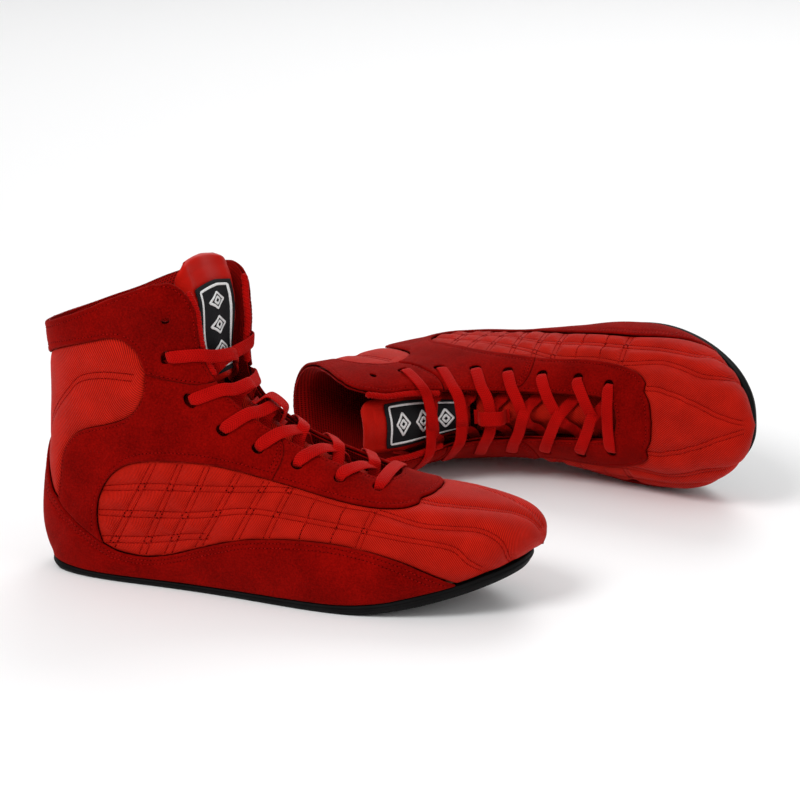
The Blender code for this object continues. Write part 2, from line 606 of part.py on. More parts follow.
def add_object(boot, name, points, faces, spec, smooth=True):
    """A mesh object in the boot's frame. Faces wind outwards for the unmirrored boot."""
    mesh = bpy.data.meshes.new(boot["name"] + "_" + name)
    if boot["mirror"] < 0:
        faces = [tuple(reversed(f)) for f in faces]
    mesh.from_pydata([tuple(p) for p in to_boot(boot, points)], [], [tuple(int(i) for i in f) for f in faces])
    mesh.materials.append(material(spec))
    obj = bpy.data.objects.new(boot["name"] + "_" + name, mesh)
    PARTS.objects.link(obj)
    obj.parent = boot["empty"]
    if smooth:
        mesh.shade_smooth()
    return obj


def outward(boot, u, m, points, faces):
    """Turns a surface's faces so that they look away from the foot."""
    p = points[faces]
    face_normal = np.cross(p[:, 1] - p[:, 0], p[:, 2] - p[:, 0])
    normal = skin(boot, u, m, 0.0)[1][faces[:, 0]]
    if (face_normal * normal).sum() < 0:
        return faces[:, ::-1]
    return faces


def weld(obj):
    """Joins a surface's two edges where they meet at the toe tip or the heel."""
    change = obj.modifiers.new("weld", "WELD")
    change.merge_threshold = WELD_REACH


def sheet(boot, name, pattern, loop, spec, depth, thickness, step, holes=(), gap=SEAM / 2, fine=FINE):
    """A panel: a loop of a flat pattern, at a depth under the outer face, thickened inwards."""
    def density(p):
        return np.where(is_tight(*pattern[1](p)), fine, 1.0)

    rim = inset(loop, gap)
    flat, faces = triangulate(rim, list(holes), step, density, fine)
    u, m = pattern[1](flat)
    points = skin(boot, u, m, -depth)[0]
    obj = add_object(boot, name, points, outward(boot, u, m, points, faces), spec)
    weld(obj)
    solid = obj.modifiers.new("thickness", "SOLIDIFY")
    solid.thickness = thickness * MM
    solid.offset = -1
    return obj


def hole_ring(pattern, c, q, radius, sides=8):
    """A lace hole's outline."""
    turn = np.linspace(0, 2 * np.pi, sides, endpoint=False) + np.pi / sides
    u, m = from_throat(c + radius * np.cos(turn), q + radius * np.sin(turn))
    return pattern[0](u, m)


# ---------------------------------------------------------------- the upper
RAND_TIP = np.array(RAND_TOP[1][-1:])
TOE_END = [from_side(RAND_TIP[:, 0], RAND_TIP[:, 1], side)[0][0] for side in (-1, 1)]


def toe_end(side):
    """The section where the rand's top reaches the sole."""
    return TOE_END[side > 0]


def vamp(boot):
    """The quilted twill over the toes and along both sides."""

    def half(side):
        return [
            section_line(OVER, 0.0, 0.0, float(side), 4)[:-1],
            edge_line(OVER, 0.0, toe_end(side), side, step=8.0)[:-1],
            side_line(OVER, RAND_TOP, side)[::-1][:-1],
            side_line(OVER, QUILT_BACK, side)[:-1],
            side_line(OVER, EYESTAY_LOW, side)[:-1],
            throat_line(OVER, EYESTAY_TIP, side),
        ]

    sheet(boot, "vamp", OVER, mirrored(half), TWILL, 0.0, UPPER, PANEL_STEP)


def eyestay(boot):
    """The U-shaped lace stay round the foot of the throat."""

    def half(side):
        seam = side_line(OVER, EYESTAY_SEAM, side)
        slot = throat_line(OVER, throat_run(THROAT_START, STAY_END), side)
        top = (seam[-1] + slot[-1]) / 2
        return [
            throat_line(OVER, EYESTAY_TIP, side)[::-1],
            side_line(OVER, EYESTAY_LOW, side)[::-1][1:-1],
            seam[:-1],
            top[None],
            slot[:-1][::-1],
        ]

    holes = [hole_ring(OVER, c, s * q, HOLE) for c, q in HOLES[:STAY_HOLES] for s in (1, -1)]
    sheet(boot, "eyestay", OVER, mirrored(half), SUEDE, 0.0, UPPER, PANEL_STEP, holes)


def quarter(boot, side, name):
    """The suede side panel from the collar down to the quilting."""
    loop = joined(
        side_line(OVER, ANKLE_EDGE, side)[::-1],
        side_line(OVER, COLLAR_FRONT, side),
        throat_line(OVER, throat_run(STAY_END, QUARTER_END)[::-1], side),
        side_line(OVER, EYESTAY_SEAM, side)[::-1],
        side_line(OVER, QUILT_BACK, side)[::-1],
        side_line(OVER, RAND_BACK, side)[::-1],
    )
    holes = [hole_ring(OVER, c, side * q, HOLE) for c, q in HOLES[STAY_HOLES:QUARTER_HOLES]]
    sheet(boot, name, OVER, loop, SUEDE, 0.0, UPPER, PANEL_STEP, holes)


def collar(boot, side, name):
    """One flap of the collar, from the back seam to the throat."""
    ends = np.array([COLLAR_LOW[1][0], COLLAR_TOP[1][0]])
    back_low, back_top = from_side(ends[:, 0], ends[:, 1], side)[0]
    loop = joined(
        edge_line(OVER, back_low, back_top, side),
        side_line(OVER, COLLAR_TOP, side),
        throat_line(OVER, flap_front()[::-1], side, 7.0),
        side_line(OVER, COLLAR_FRONT, side)[::-1],
        side_line(OVER, COLLAR_LOW, side)[::-1],
    )
    holes = [hole_ring(OVER, c, side * q, r) for (c, q), r in zip(HOLES[QUARTER_HOLES:], (HOLE, SPARE_HOLE))]
    sheet(boot, name, OVER, loop, SUEDE, 0.0, UPPER, PANEL_STEP, holes)


def ankle_panel(boot):
    """The twill behind the ankle, one piece round the back, tapering down to the heel."""

    def half(side):
        lines = [side_line(ROUND, line, side) for line in (COLLAR_LOW, ANKLE_EDGE)]
        return [lines[0][:-1], lines[1][:-1], side_line(ROUND, HEEL_TOP, side)[::-1]]

    sheet(boot, "ankle_panel", ROUND, mirrored(half), TWILL, 0.0, UPPER, PANEL_STEP)


def rand(boot):
    """The suede wall round the heel and along both sides to the ball."""

    def half(side):
        top = [side_line(ROUND, line, side)[:-1] for line in (HEEL_TOP, RAND_BACK, RAND_TOP)]
        return top + [edge_line(ROUND, toe_end(side), HEEL, side)]

    sheet(boot, "rand", ROUND, mirrored(half), SUEDE, 0.0, UPPER, PANEL_STEP)


# ---------------------------------------------------------------- under the panels
def toe_puff(boot):
    """A stiff cap over the toes, between the vamp and its lining."""

    def half(side):
        return [
            section_line(OVER, PUFF_FRONT, 0.0, side * PUFF_SHARE, 4)[:-1],
            edge_line(OVER, PUFF_FRONT, PUFF_BACK, side, PUFF_SHARE, 8.0),
            section_line(OVER, PUFF_BACK, side * PUFF_SHARE, 0.0, 6)[1:],
        ]

    sheet(boot, "toe_puff", OVER, mirrored(half), FOAM_GREY, FOAM_DEPTH, FOAM, PANEL_STEP)


def heel_stiffener(boot):
    """A moulded cup between the rand and the lining."""

    def half(side):
        foot = edge_line(ROUND, STIFFENER_FRONT, HEEL, side, step=8.0)
        foot[:, 1] += side * STIFFENER_LIFT
        return [side_line(ROUND, STIFFENER_TOP, side), foot]

    sheet(boot, "heel_stiffener", ROUND, mirrored(half), BOARD_TAN, FOAM_DEPTH, FOAM, PANEL_STEP, fine=1.5)


def collar_foam(boot):
    """The padding round the back of the collar."""

    def half(side):
        lines = [side_line(ROUND, line, side) for line in (FOAM_TOP, FOAM_FRONT, FOAM_LOW)]
        return [lines[0][:-1], lines[1][:-1], lines[2]]

    sheet(boot, "collar_foam", ROUND, mirrored(half), FOAM_GREY, FOAM_DEPTH, FOAM, PANEL_STEP, fine=1.4)


def lining_seam(pattern, side):
    """The lining's seam, from the throat down to the sole, and its section."""
    u, m = from_throat(np.array([LINING_SEAM]), np.array([side * throat_edge_at(LINING_SEAM)]))
    return section_line(pattern, u[0], m[0], float(side), 7), u[0]


def vamp_lining(boot):
    """The knitted lining of the forefoot."""

    def half(side):
        seam, end = lining_seam(OVER, side)
        return [
            section_line(OVER, 0.0, 0.0, float(side), 4)[:-1],
            edge_line(OVER, 0.0, toe_end(side), side, step=8.0)[:-1],
            edge_line(OVER, toe_end(side), end, side, step=14.0)[:-1],
            seam[::-1][:-1],
            throat_line(OVER, throat_run(THROAT_START, LINING_SEAM), side, 11.0)[::-1],
        ]

    holes = [hole_ring(OVER, c, s * q, LINING_HOLE, 6) for c, q in HOLES[:STAY_HOLES] for s in (1, -1)]
    loop = mirrored(half)
    sheet(boot, "vamp_lining", OVER, loop, MESH, LINING_DEPTH, LINING, LINING_STEP, holes, LINING_GAP, 1.9)


def quarter_lining(boot):
    """The knitted lining of the heel and the shaft, up to the collar's edge."""

    def half(side):
        seam, end = lining_seam(ROUND, side)
        front = throat_line(ROUND, flap_front(LINING_SEAM), side, 11.0)
        return [
            side_line(ROUND, COLLAR_TOP, side)[:-1],
            front[::-1][:-1],
            seam[:-1],
            edge_line(ROUND, end, HEEL, side, step=12.0),
        ]

    holes = [hole_ring(ROUND, c, s * q, LINING_HOLE, 6) for c, q in HOLES[STAY_HOLES:] for s in (1, -1)]
    loop = mirrored(half)
    sheet(
        boot, "quarter_lining", ROUND, loop, MESH, LINING_DEPTH, LINING, LINING_STEP, holes, LINING_GAP, 1.25
    )


# ---------------------------------------------------------------- the sole
def sole_bottom(x):
    """Height of the tread over the ground: level from heel to ball, rising to the toe."""
    rise = TOE_SPRING * (np.clip(x - BALL_X, 0, None) / TREAD_X) ** TOE_CURVE
    return rise + HEEL_RISE * ramp(HEEL_X - x, 0.0, HEEL_X + 2.0)


def edge_height(x):
    """Height of the edge where the upper meets the sole, above x."""
    u = np.linspace(0, HEEL - 0.4, 300)
    k = section_at(u)
    order = np.argsort(k[:, 0])
    return np.interp(x, k[order, 0], k[order, 1])


def sole_loop(grow):
    """The outline of the upper's lower edge, grown outwards, as seen from below."""
    u = np.linspace(0.0, HEEL, 220)
    k = section_at(u)
    outer = np.stack([k[:, 0], k[:, 4].clip(0)], -1)
    inner = np.stack([k[:, 0], -k[:, 5].clip(0)], -1)
    half = [smooth_line(line, 10.0) for line in (outer, inner)]
    loop = np.vstack([half[0], half[1][::-1][1:-1]])
    return inset(loop, -grow)


def slab(boot, name, loop, low, high, spec, step, draft=0.0):
    """A layer of the sole between two height fields, its lower rim drawn in by the draft."""
    flat, faces = triangulate(loop, [], step)
    count = len(loop)
    under = flat.copy()
    if draft:
        under[:count] = inset(loop, draft)
    top = np.stack([flat[:, 0], flat[:, 1], high(flat[:, 0])], -1)
    bottom = np.stack([under[:, 0], under[:, 1], low(under[:, 0])], -1)
    points = np.vstack([top, bottom])
    shift = len(flat)
    sense = 1 if area_of(loop) > 0 else -1
    walls = []
    for i in range(count):
        j = (i + 1) % count
        quad = (i, i + shift, j + shift, j)
        walls.append(quad if sense > 0 else quad[::-1])
    lower = [(a + shift, c + shift, b + shift) for a, b, c in faces]
    add_object(boot, name, points, [tuple(f) for f in faces] + lower + walls, spec)


def above_edge(height):
    """A level that follows the upper's lower edge at a height over it."""
    return lambda x: edge_height(x) + height


def sole_layers(boot):
    """The outsole, and inside the upper the board and the footbed on it."""
    top = above_edge(-SOLE_GAP)
    slab(boot, "outsole", sole_loop(SOLE_RIM), sole_bottom, top, RUBBER, SLAB_STEP, SOLE_DRAFT)
    board, bed = sole_loop(-INNER_INSET), sole_loop(-INNER_INSET - BED_GAP)
    slab(boot, "insole_board", board, above_edge(0.0), above_edge(BOARD), BOARD_TAN, SLAB_STEP)
    low = BOARD + SOLE_GAP
    slab(boot, "footbed", bed, above_edge(low), above_edge(low + FOOTBED), FOAM_GREY, SLAB_STEP)


# ---------------------------------------------------------------- the tongue
def tongue_point(boot, c, q, lift=0.0):
    """A point lift millimetres above the tongue's face, which is flatter than the shaft round it."""
    c, q = np.asarray(c, float), np.where(np.abs(q) < 1e-6, 1e-6, q)
    surface, normal = skin(boot, *from_throat(c, q), 0.0)
    middle = skin(boot, *from_throat(c, np.full_like(c, 1e-6)), 0.0)[1]
    way = normal + 0.5 * middle
    way /= np.linalg.norm(way, axis=-1, keepdims=True)
    aside = np.abs(q)
    crown = TONGUE_CROWN * (1 - ramp(aside, 2.0, 12.0))
    lean = boot["lean"] * ramp(c, TONGUE_SPLIT, 256.0) * (1 - 0.75 * ramp(aside, 12.0, 25.0))
    depth = TONGUE_DEPTH - crown + TONGUE_DROP * ramp(aside, 12.0, 20.0) - lean
    return surface + way * (lift - depth)[:, None]


def slid(boot, c):
    """A length along the tongue, after its top has slid down into the shaft."""
    return c + boot["slide"] * ramp(c, 100.0, 190.0)


def tongue_piece(boot, name, outline):
    """A pad in throat coordinates: rows of length and half width, closed on all sides."""
    c = np.repeat([slid(boot, p[0]) for p in outline], len(TONGUE_COLUMNS))
    q = np.concatenate([p[1] * np.array(TONGUE_COLUMNS) for p in outline])
    high, low = tongue_point(boot, c, q), tongue_point(boot, c, q, -TONGUE_THICK)
    return grid_solid(boot, name, low, high, len(outline), len(TONGUE_COLUMNS), TWILL)


def tongue(boot):
    tongue_piece(boot, "tongue_lower", TONGUE_LOW)
    upper = tongue_piece(boot, "tongue_upper", TONGUE_HIGH)
    label = tongue_label(boot)
    hang_on_hinge(boot, [upper, label])


def tongue_label(boot):
    """A woven cloth rectangle sewn on the tongue's top."""
    cs = np.linspace(slid(boot, LABEL_SPAN[0]), slid(boot, LABEL_SPAN[1]), 7)
    qs = np.linspace(-LABEL_HALF, LABEL_HALF, 5)
    c, q = (v.ravel() for v in np.meshgrid(cs, qs, indexing="ij"))
    low, high = tongue_point(boot, c, q, LABEL_LIFT), tongue_point(boot, c, q, LABEL_LIFT + LABEL_THICK)
    return grid_solid(boot, "tongue_label", low, high, len(cs), len(qs), LABEL_BLACK)


def grid_solid(boot, name, low, high, rows, columns, spec):
    """A closed slab between two grids of points."""
    index = np.arange(rows * columns).reshape(rows, columns)
    quads = np.stack([index[:-1, :-1], index[1:, :-1], index[1:, 1:], index[:-1, 1:]], -1).reshape(-1, 4)
    shift = rows * columns
    faces = [tuple(q) for q in quads] + [tuple(q) for q in quads[:, ::-1] + shift]
    rim = list(index[:, 0]) + list(index[-1, 1:]) + list(index[-2::-1, -1]) + list(index[0, -2:0:-1])
    faces += [(a, a + shift, b + shift, b) for a, b in zip(rim, rim[1:] + rim[:1])]
    points = np.vstack([low, high])
    a, b, c, d = (points[np.array(faces)[:, k]] for k in range(4))
    volume = (a * (np.cross(b, c) + np.cross(c, d))).sum()
    if volume < 0:
        faces = [f[::-1] for f in faces]
    return add_object(boot, name, points, faces, spec)


def hang_on_hinge(boot, objects):
    """Puts the tongue's top on an empty at its fold line."""
    split = slid(boot, np.array([TONGUE_SPLIT]))
    fold = to_boot(boot, tongue_point(boot, split, np.array([0.0]), -TONGUE_CROWN))[0]
    hinge = bpy.data.objects.new(boot["name"] + "_tongue_fold", None)
    PARTS.objects.link(hinge)
    hinge.parent = boot["empty"]
    hinge.location = fold
    for obj in objects:
        obj.parent = hinge
        obj.data.transform(Matrix.Translation(-Vector(fold)))
    boot["hinge"] = hinge


# ---------------------------------------------------------------- laces, loop and piping
def throat_point(boot, c, q, lift):
    c, q = np.atleast_1d(np.asarray(c, float)), np.atleast_1d(np.asarray(q, float))
    u, m = from_throat(c, np.where(np.abs(q) < 1e-6, 1e-6, q))
    return skin(boot, u, m, lift)


def lace_rows():
    """Half a lacing, from the bar at the foot of the throat to the top used hole: c, q, lift, half width.

    At a crossing the lift is the crossing's number, because it depends on which half is on top there.
    """
    path, side = [], 1
    for k in range(USED_HOLES - 1):
        (c0, q0), (c1, q1) = HOLES[k], HOLES[k + 1]
        e0, e1 = throat_edge_at(c0), throat_edge_at(c1)
        path += [
            (c0, side * q0, -3.2, HOLE_HALF),
            (c0 + 1.0, side * (q0 - 2.5), UNDER_FLAP + 0.6, 2.4),
            (c0 + 3.0, side * (e0 + 1.5), UNDER_FLAP, LACE_HALF),
            (c0 + 6.0, side * (e0 - 4.5), UNDER_FLAP + 1.0, LACE_HALF),
            (c0 + 8.5, side * (e0 - 9.5), -3.4, LACE_HALF),
            ((c0 + c1) / 2, 0.0, k, LACE_HALF),
            (c1 - 7.0, -side * (e1 - 6.5), 0.85, LACE_HALF),
            (c1 - 3.2, -side * (e1 + 1.5), FACE_LIFT, LACE_HALF),
            (c1 - 0.6, -side * (q1 - 4.5), FACE_LIFT, 3.1),
            (c1, -side * (q1 - 0.6), 0.7, 1.9),
        ]
        side = -side
    return path, side


def lace_nodes(boot):
    """The whole lace as stations: point, width direction and half width, from one tail to the other."""
    path, end_side = lace_rows()
    halves = []
    for half in (1, -1):
        stations = []
        for c, q, lift, width in path:
            if q == 0.0:
                lift = OVER_LIFT if ON_TOP[lift] == half else UNDER_LIFT
            stations.append((c, half * q, lift, width))
        c = np.array([s[0] for s in stations])
        q = np.array([s[1] for s in stations])
        lift = np.array([s[2] for s in stations])
        width = np.array([s[3] for s in stations])
        points, normals = throat_point(boot, c, q, lift)
        hole_c, hole_q = HOLES[USED_HOLES - 1]
        tail_side = half * end_side
        inside_c = np.array([hole_c, hole_c])
        inside_q = tail_side * np.array([hole_q, hole_q + 3.0])
        low, low_n = throat_point(boot, inside_c, inside_q, np.array([-3.2, -9.0]))
        tail_xz = np.array(TAIL)
        u, m = from_side(tail_xz[:, 0], tail_xz[:, 1], tail_side)
        tail, tail_n = skin(boot, u, m, -TAIL_DEPTH)
        points, normals = np.vstack([points, low, tail]), np.vstack([normals, low_n, tail_n])
        width = np.concatenate([width, [HOLE_HALF, 2.6], np.full(len(tail), TAIL_HALF)])
        width[-1] = TAIL_TIP
        halves.append((points, normals, width))
    return halves


def frames(points, normals):
    """Directions across the lace: square to its run and, where it can be, flat on the boot."""
    run = np.gradient(points, axis=0)
    run /= np.linalg.norm(run, axis=1, keepdims=True)
    flat_run = run - (run * normals).sum(1, keepdims=True) * normals
    strength = np.linalg.norm(flat_run, axis=1)
    for i in range(len(points)):
        if strength[i] < 0.45 and i > 0:
            flat_run[i] = flat_run[i - 1] - np.dot(flat_run[i - 1], normals[i]) * normals[i]
    flat_run /= np.linalg.norm(flat_run, axis=1, keepdims=True)
    across = np.cross(normals, flat_run)
    across -= (across * run).sum(1, keepdims=True) * run
    return across / np.linalg.norm(across, axis=1, keepdims=True), run


def lace_line(boot):
    """Both halves joined at the middle of the bottom bar, resampled as one smooth line."""
    first, second = lace_nodes(boot)
    c0, q0 = HOLES[0]
    bar_q = np.array([q0 - 0.6, q0 - 5.0, 9.0, 0.0, -9.0, -(q0 - 5.0), -(q0 - 0.6)])
    bar_lift = np.array([0.7, 1.6, 1.4, 1.3, 1.4, 1.6, 0.7])
    bar, bar_n = throat_point(boot, np.full(len(bar_q), c0 - 0.5), bar_q, bar_lift)
    bar_w = np.array([1.9, 3.1, LACE_HALF, LACE_HALF, LACE_HALF, 3.1, 1.9])
    points = np.vstack([first[0][::-1], bar, second[0]])
    normals = np.vstack([first[1][::-1], bar_n, second[1]])
    width = np.concatenate([first[2][::-1], bar_w, second[2]])
    return points, normals, width


def ribbon(boot, name, points, normals, width, thickness, spec):
    """A four-sided ribbon with closed ends along a line."""
    across, run = frames(points, normals)
    face = np.cross(run, across)
    half = thickness / 2
    rings = np.stack([
        points + across * width[:, None] + face * half,
        points - across * width[:, None] + face * half,
        points - across * width[:, None] - face * half,
        points + across * width[:, None] - face * half,
    ], 1)
    faces = [(3, 2, 1, 0)]
    for i in range(len(points) - 1):
        a, b = 4 * i, 4 * i + 4
        faces += [(a + j, a + (j + 1) % 4, b + (j + 1) % 4, b + j) for j in range(4)]
    last = 4 * (len(points) - 1)
    faces.append((last, last + 1, last + 2, last + 3))
    flat = rings.reshape(-1, 3)
    a, b, c = flat[0], flat[1], flat[5]
    if np.dot(np.cross(b - a, c - a), face[0]) < 0:
        faces = [f[::-1] for f in faces]
    return add_object(boot, name, flat, faces, spec)


def lace(boot):
    points, normals, width = lace_line(boot)
    ribbon(boot, "lace", points, normals, width, LACE_THICK, WEBBING)
    for name, tip, before in (("aglet_outer", points[0], points[1]), ("aglet_inner", points[-1], points[-2])):
        ahead = unit(tip - before)
        tube(boot, name, [tip + AGLET_GAP * ahead, tip + AGLET * ahead], AGLET_RADIUS, CLEAR_TIP)


def unit(v):
    return v / np.linalg.norm(v)


def tube(boot, name, points, radius, spec):
    """A round cord along the points, as a curve with closed ends."""
    curve = bpy.data.curves.new(boot["name"] + "_" + name, "CURVE")
    curve.dimensions = "3D"
    curve.bevel_depth = radius * MM
    curve.bevel_resolution = 1
    curve.use_fill_caps = True
    line = curve.splines.new("POLY")
    line.points.add(len(points) - 1)
    for knot, place in zip(line.points, to_boot(boot, np.array(points))):
        knot.co = (*place, 1.0)
    curve.materials.append(material(spec))
    obj = bpy.data.objects.new(boot["name"] + "_" + name, curve)
    PARTS.objects.link(obj)
    obj.parent = boot["empty"]
    return obj


def piping(boot, side, name):
    """The woven cord down the front edge of a collar flap."""
    c = np.linspace(*PIPING_SPAN, 9)
    q = side * (throat_edge_at(c) - PIPING_RADIUS - SEAM)
    tube(boot, name, throat_point(boot, c, q, -PIPING_DEPTH)[0], PIPING_RADIUS, MESH)


def lace_loop(boot):
    """A webbing keeper sewn to the tongue at both ends, over one crossing of the lace."""
    middle = (HOLES[3][0] + HOLES[4][0]) / 2
    c = middle + np.array(LOOP_RUN)
    points, normals = throat_point(boot, c, np.zeros(len(c)), np.array(LOOP_LIFT))
    ribbon(boot, "lace_loop", points, normals, np.full(len(c), LOOP_HALF), LOOP_THICK, WEBBING)


# ---------------------------------------------------------------- the pair
def build_boot(boot):
    boot_frame(boot)
    sole_layers(boot)
    vamp(boot)
    eyestay(boot)
    quarter(boot, 1, "quarter_outer")
    quarter(boot, -1, "quarter_inner")
    collar(boot, 1, "collar_outer")
    collar(boot, -1, "collar_inner")
    ankle_panel(boot)
    rand(boot)
    toe_puff(boot)
    heel_stiffener(boot)
    collar_foam(boot)
    vamp_lining(boot)
    quarter_lining(boot)
    tongue(boot)
    lace(boot)
    lace_loop(boot)
    piping(boot, 1, "piping_outer")
    piping(boot, -1, "piping_inner")


clear_scene()
build_boot(RIGHT)
build_boot(LEFT)
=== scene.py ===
"""Looks of a pair of laced boxing boots: quilted twill, suede panels, laces, tongues and soles.

A boot is made in its own frame, in millimetres: x runs from the heel to the toe, a runs outwards
(towards the little toe) and z up from the ground. Every panel is a cut-out of one lasted surface.
"""

import math

import bpy
import numpy as np
from mathutils import Matrix, Vector
from mathutils.geometry import delaunay_2d_cdt
from mathutils.kdtree import KDTree


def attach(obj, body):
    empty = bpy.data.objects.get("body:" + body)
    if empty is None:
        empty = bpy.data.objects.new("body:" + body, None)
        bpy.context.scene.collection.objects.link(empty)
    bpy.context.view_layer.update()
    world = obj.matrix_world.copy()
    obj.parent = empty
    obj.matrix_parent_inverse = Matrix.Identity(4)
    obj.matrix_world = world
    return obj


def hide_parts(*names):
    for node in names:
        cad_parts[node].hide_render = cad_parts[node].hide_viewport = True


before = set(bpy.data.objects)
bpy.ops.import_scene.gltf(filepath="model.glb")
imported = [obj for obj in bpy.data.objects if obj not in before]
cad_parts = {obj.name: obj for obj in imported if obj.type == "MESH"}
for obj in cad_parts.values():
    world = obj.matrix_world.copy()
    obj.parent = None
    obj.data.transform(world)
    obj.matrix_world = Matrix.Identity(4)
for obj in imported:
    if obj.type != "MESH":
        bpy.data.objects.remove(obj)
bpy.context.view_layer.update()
MM = 0.001

# ---------------------------------------------------------------- camera, floor and lights
CAMERA_TARGET = Vector((-0.0060, -0.0111, 0.072))
CAMERA_PITCH = 15.67  # degrees under the horizon
CAMERA_DISTANCE = 1.814
CAMERA_LENS = 133.7
FLOOR_WHITE = (0.93, 0.93, 0.933, 1.0)
SKY_STRENGTH = 0.60
LIGHTS = (  # name, place, aim, size in metres, power in watts
    ("key", (-1.3, -1.5, 2.1), (0.0, 0.0, 0.05), 1.3, 40.0),
    ("fill", (1.9, -1.6, 1.2), (0.0, 0.0, 0.05), 1.6, 9.0),
    ("rim", (0.5, 1.9, 1.9), (0.0, 0.0, 0.1), 1.6, 20.0),
)


def add_camera():
    data = bpy.data.cameras.new("camera")
    data.lens = CAMERA_LENS
    data.sensor_width = 36.0
    camera = bpy.data.objects.new("camera", data)
    bpy.context.scene.collection.objects.link(camera)
    pitch = math.radians(CAMERA_PITCH)
    camera.location = CAMERA_TARGET + CAMERA_DISTANCE * Vector((0.0, -math.cos(pitch), math.sin(pitch)))
    camera.rotation_euler = (math.pi / 2 - pitch, 0.0, 0.0)
    bpy.context.scene.camera = camera


def add_light(name, place, aim, size, power):
    data = bpy.data.lights.new(name, "AREA")
    data.shape = "DISK"
    data.size = size
    data.energy = power
    data.color = (1.0, 1.0, 1.0)
    light = bpy.data.objects.new(name, data)
    light.location = place
    light.rotation_euler = (Vector(aim) - Vector(place)).to_track_quat("-Z", "Y").to_euler()
    bpy.context.scene.collection.objects.link(light)


def add_studio():
    """A pale floor that curves up into a wall behind the boots, three soft lights and a white sky."""
    mesh = bpy.data.meshes.new("studio_floor")
    reach, back, wall, bend_radius, steps = 6.0, 3.0, 4.0, 1.2, 16
    profile = [(-reach, 0.0), (back, 0.0)]
    for i in range(1, steps + 1):
        turn = math.pi / 2 * i / steps
        profile.append((back + bend_radius * math.sin(turn), bend_radius * (1 - math.cos(turn))))
    profile.append((back + bend_radius, wall))
    points = [(side * reach, y, z) for y, z in profile for side in (-1, 1)]
    faces = [(2 * i, 2 * i + 1, 2 * i + 3, 2 * i + 2) for i in range(len(profile) - 1)]
    mesh.from_pydata(points, [], faces)
    mesh.shade_smooth()
    floor = bpy.data.objects.new("studio_floor", mesh)
    bpy.context.scene.collection.objects.link(floor)
    made = bpy.data.materials.new("studio_white")
    made.use_nodes = True
    shader = made.node_tree.nodes["Principled BSDF"]
    shader.inputs["Base Color"].default_value = FLOOR_WHITE
    shader.inputs["Roughness"].default_value = 0.55
    shader.inputs["Specular IOR Level"].default_value = 0.2
    mesh.materials.append(made)
    world = bpy.data.worlds.new("studio")
    world.use_nodes = True
    background = world.node_tree.nodes["Background"]
    background.inputs["Color"].default_value = (1.0, 1.0, 1.0, 1.0)
    background.inputs["Strength"].default_value = SKY_STRENGTH
    bpy.context.scene.world = world
    for light in LIGHTS:
        add_light(*light)


def set_tones():
    """Plain display tones, so that the red stays as saturated as its material."""
    bpy.context.scene.view_settings.view_transform = "Standard"


add_camera()
add_studio()
set_tones()

# ---------------------------------------------------------------- shape of the boot, mm
TIP_EDGE = 0.02

# Sections of the last from the toe tip, over the instep, to above the collar: bottom x and z, top x and z,
# half width of the sole edge (outer, inner side), greatest half width (outer, inner side), squareness.
SECTIONS = np.array([
    (289.0, 32.0, 296.0, 38.0, 0.0, 0.0, 0.0, 0.0, 2.3),
    (288.7, 31.8, 297.0, 42.0, 7.0, 6.5, 9.0, 8.5, 2.3),
    (286.5, 30.8, 296.0, 46.5, 14.0, 13.0, 16.5, 16.0, 2.3),
    (281.5, 28.8, 292.0, 51.5, 21.0, 19.5, 24.0, 23.0, 2.3),
    (272.0, 25.5, 283.0, 56.5, 29.0, 27.5, 32.5, 31.0, 2.3),
    (257.0, 20.2, 267.0, 60.5, 36.5, 36.0, 40.5, 40.0, 2.25),
    (238.0, 14.6, 246.0, 64.0, 42.5, 43.0, 46.5, 46.5, 2.2),
    (216.0, 8.8, 222.0, 68.5, 46.5, 46.5, 50.0, 49.5, 2.05),
    (194.0, 6.0, 200.0, 75.0, 48.0, 45.5, 51.0, 49.0, 1.95),
    (172.0, 5.3, 180.0, 83.0, 46.5, 41.5, 50.0, 46.0, 1.85),
    (150.0, 5.0, 161.0, 92.0, 43.0, 36.5, 47.0, 42.0, 1.8),
    (127.0, 4.7, 144.0, 103.0, 39.0, 32.5, 44.0, 39.0, 1.8),
    (102.0, 4.5, 129.5, 115.0, 35.5, 30.0, 41.5, 37.5, 1.85),
    (76.0, 4.3, 120.0, 127.0, 33.0, 29.5, 39.5, 37.0, 1.95),
    (50.0, 4.2, 114.5, 139.0, 31.0, 29.5, 38.0, 36.5, 2.1),
    (25.0, 4.5, 111.5, 148.5, 26.0, 25.5, 37.0, 36.0, 2.2),
    (8.0, 6.0, 109.5, 156.5, 15.0, 15.0, 36.0, 35.5, 2.25),
    (2.5, 9.0, 108.0, 163.0, 0.0, 0.0, 35.0, 35.0, 2.25),
    (-1.5, 24.0, 106.5, 169.0, 0.0, 0.0, 34.5, 34.5, 2.25),
    (-0.5, 46.0, 104.5, 174.5, 0.0, 0.0, 34.5, 34.5, 2.25),
    (2.5, 70.0, 102.5, 180.0, 0.0, 0.0, 34.5, 34.5, 2.25),
    (4.6, 96.0, 100.0, 186.0, 0.0, 0.0, 34.5, 34.5, 2.25),
    (3.5, 124.0, 97.5, 192.0, 0.0, 0.0, 34.5, 34.5, 2.25),
    (-0.5, 153.0, 95.0, 199.0, 0.0, 0.0, 35.0, 35.0, 2.25),
    (-4.0, 182.0, 93.0, 206.0, 0.0, 0.0, 35.5, 35.5, 2.25),
])
LAST = len(SECTIONS) - 1
HEEL = 16.95  # the section where the sole's edge ends, round the heel

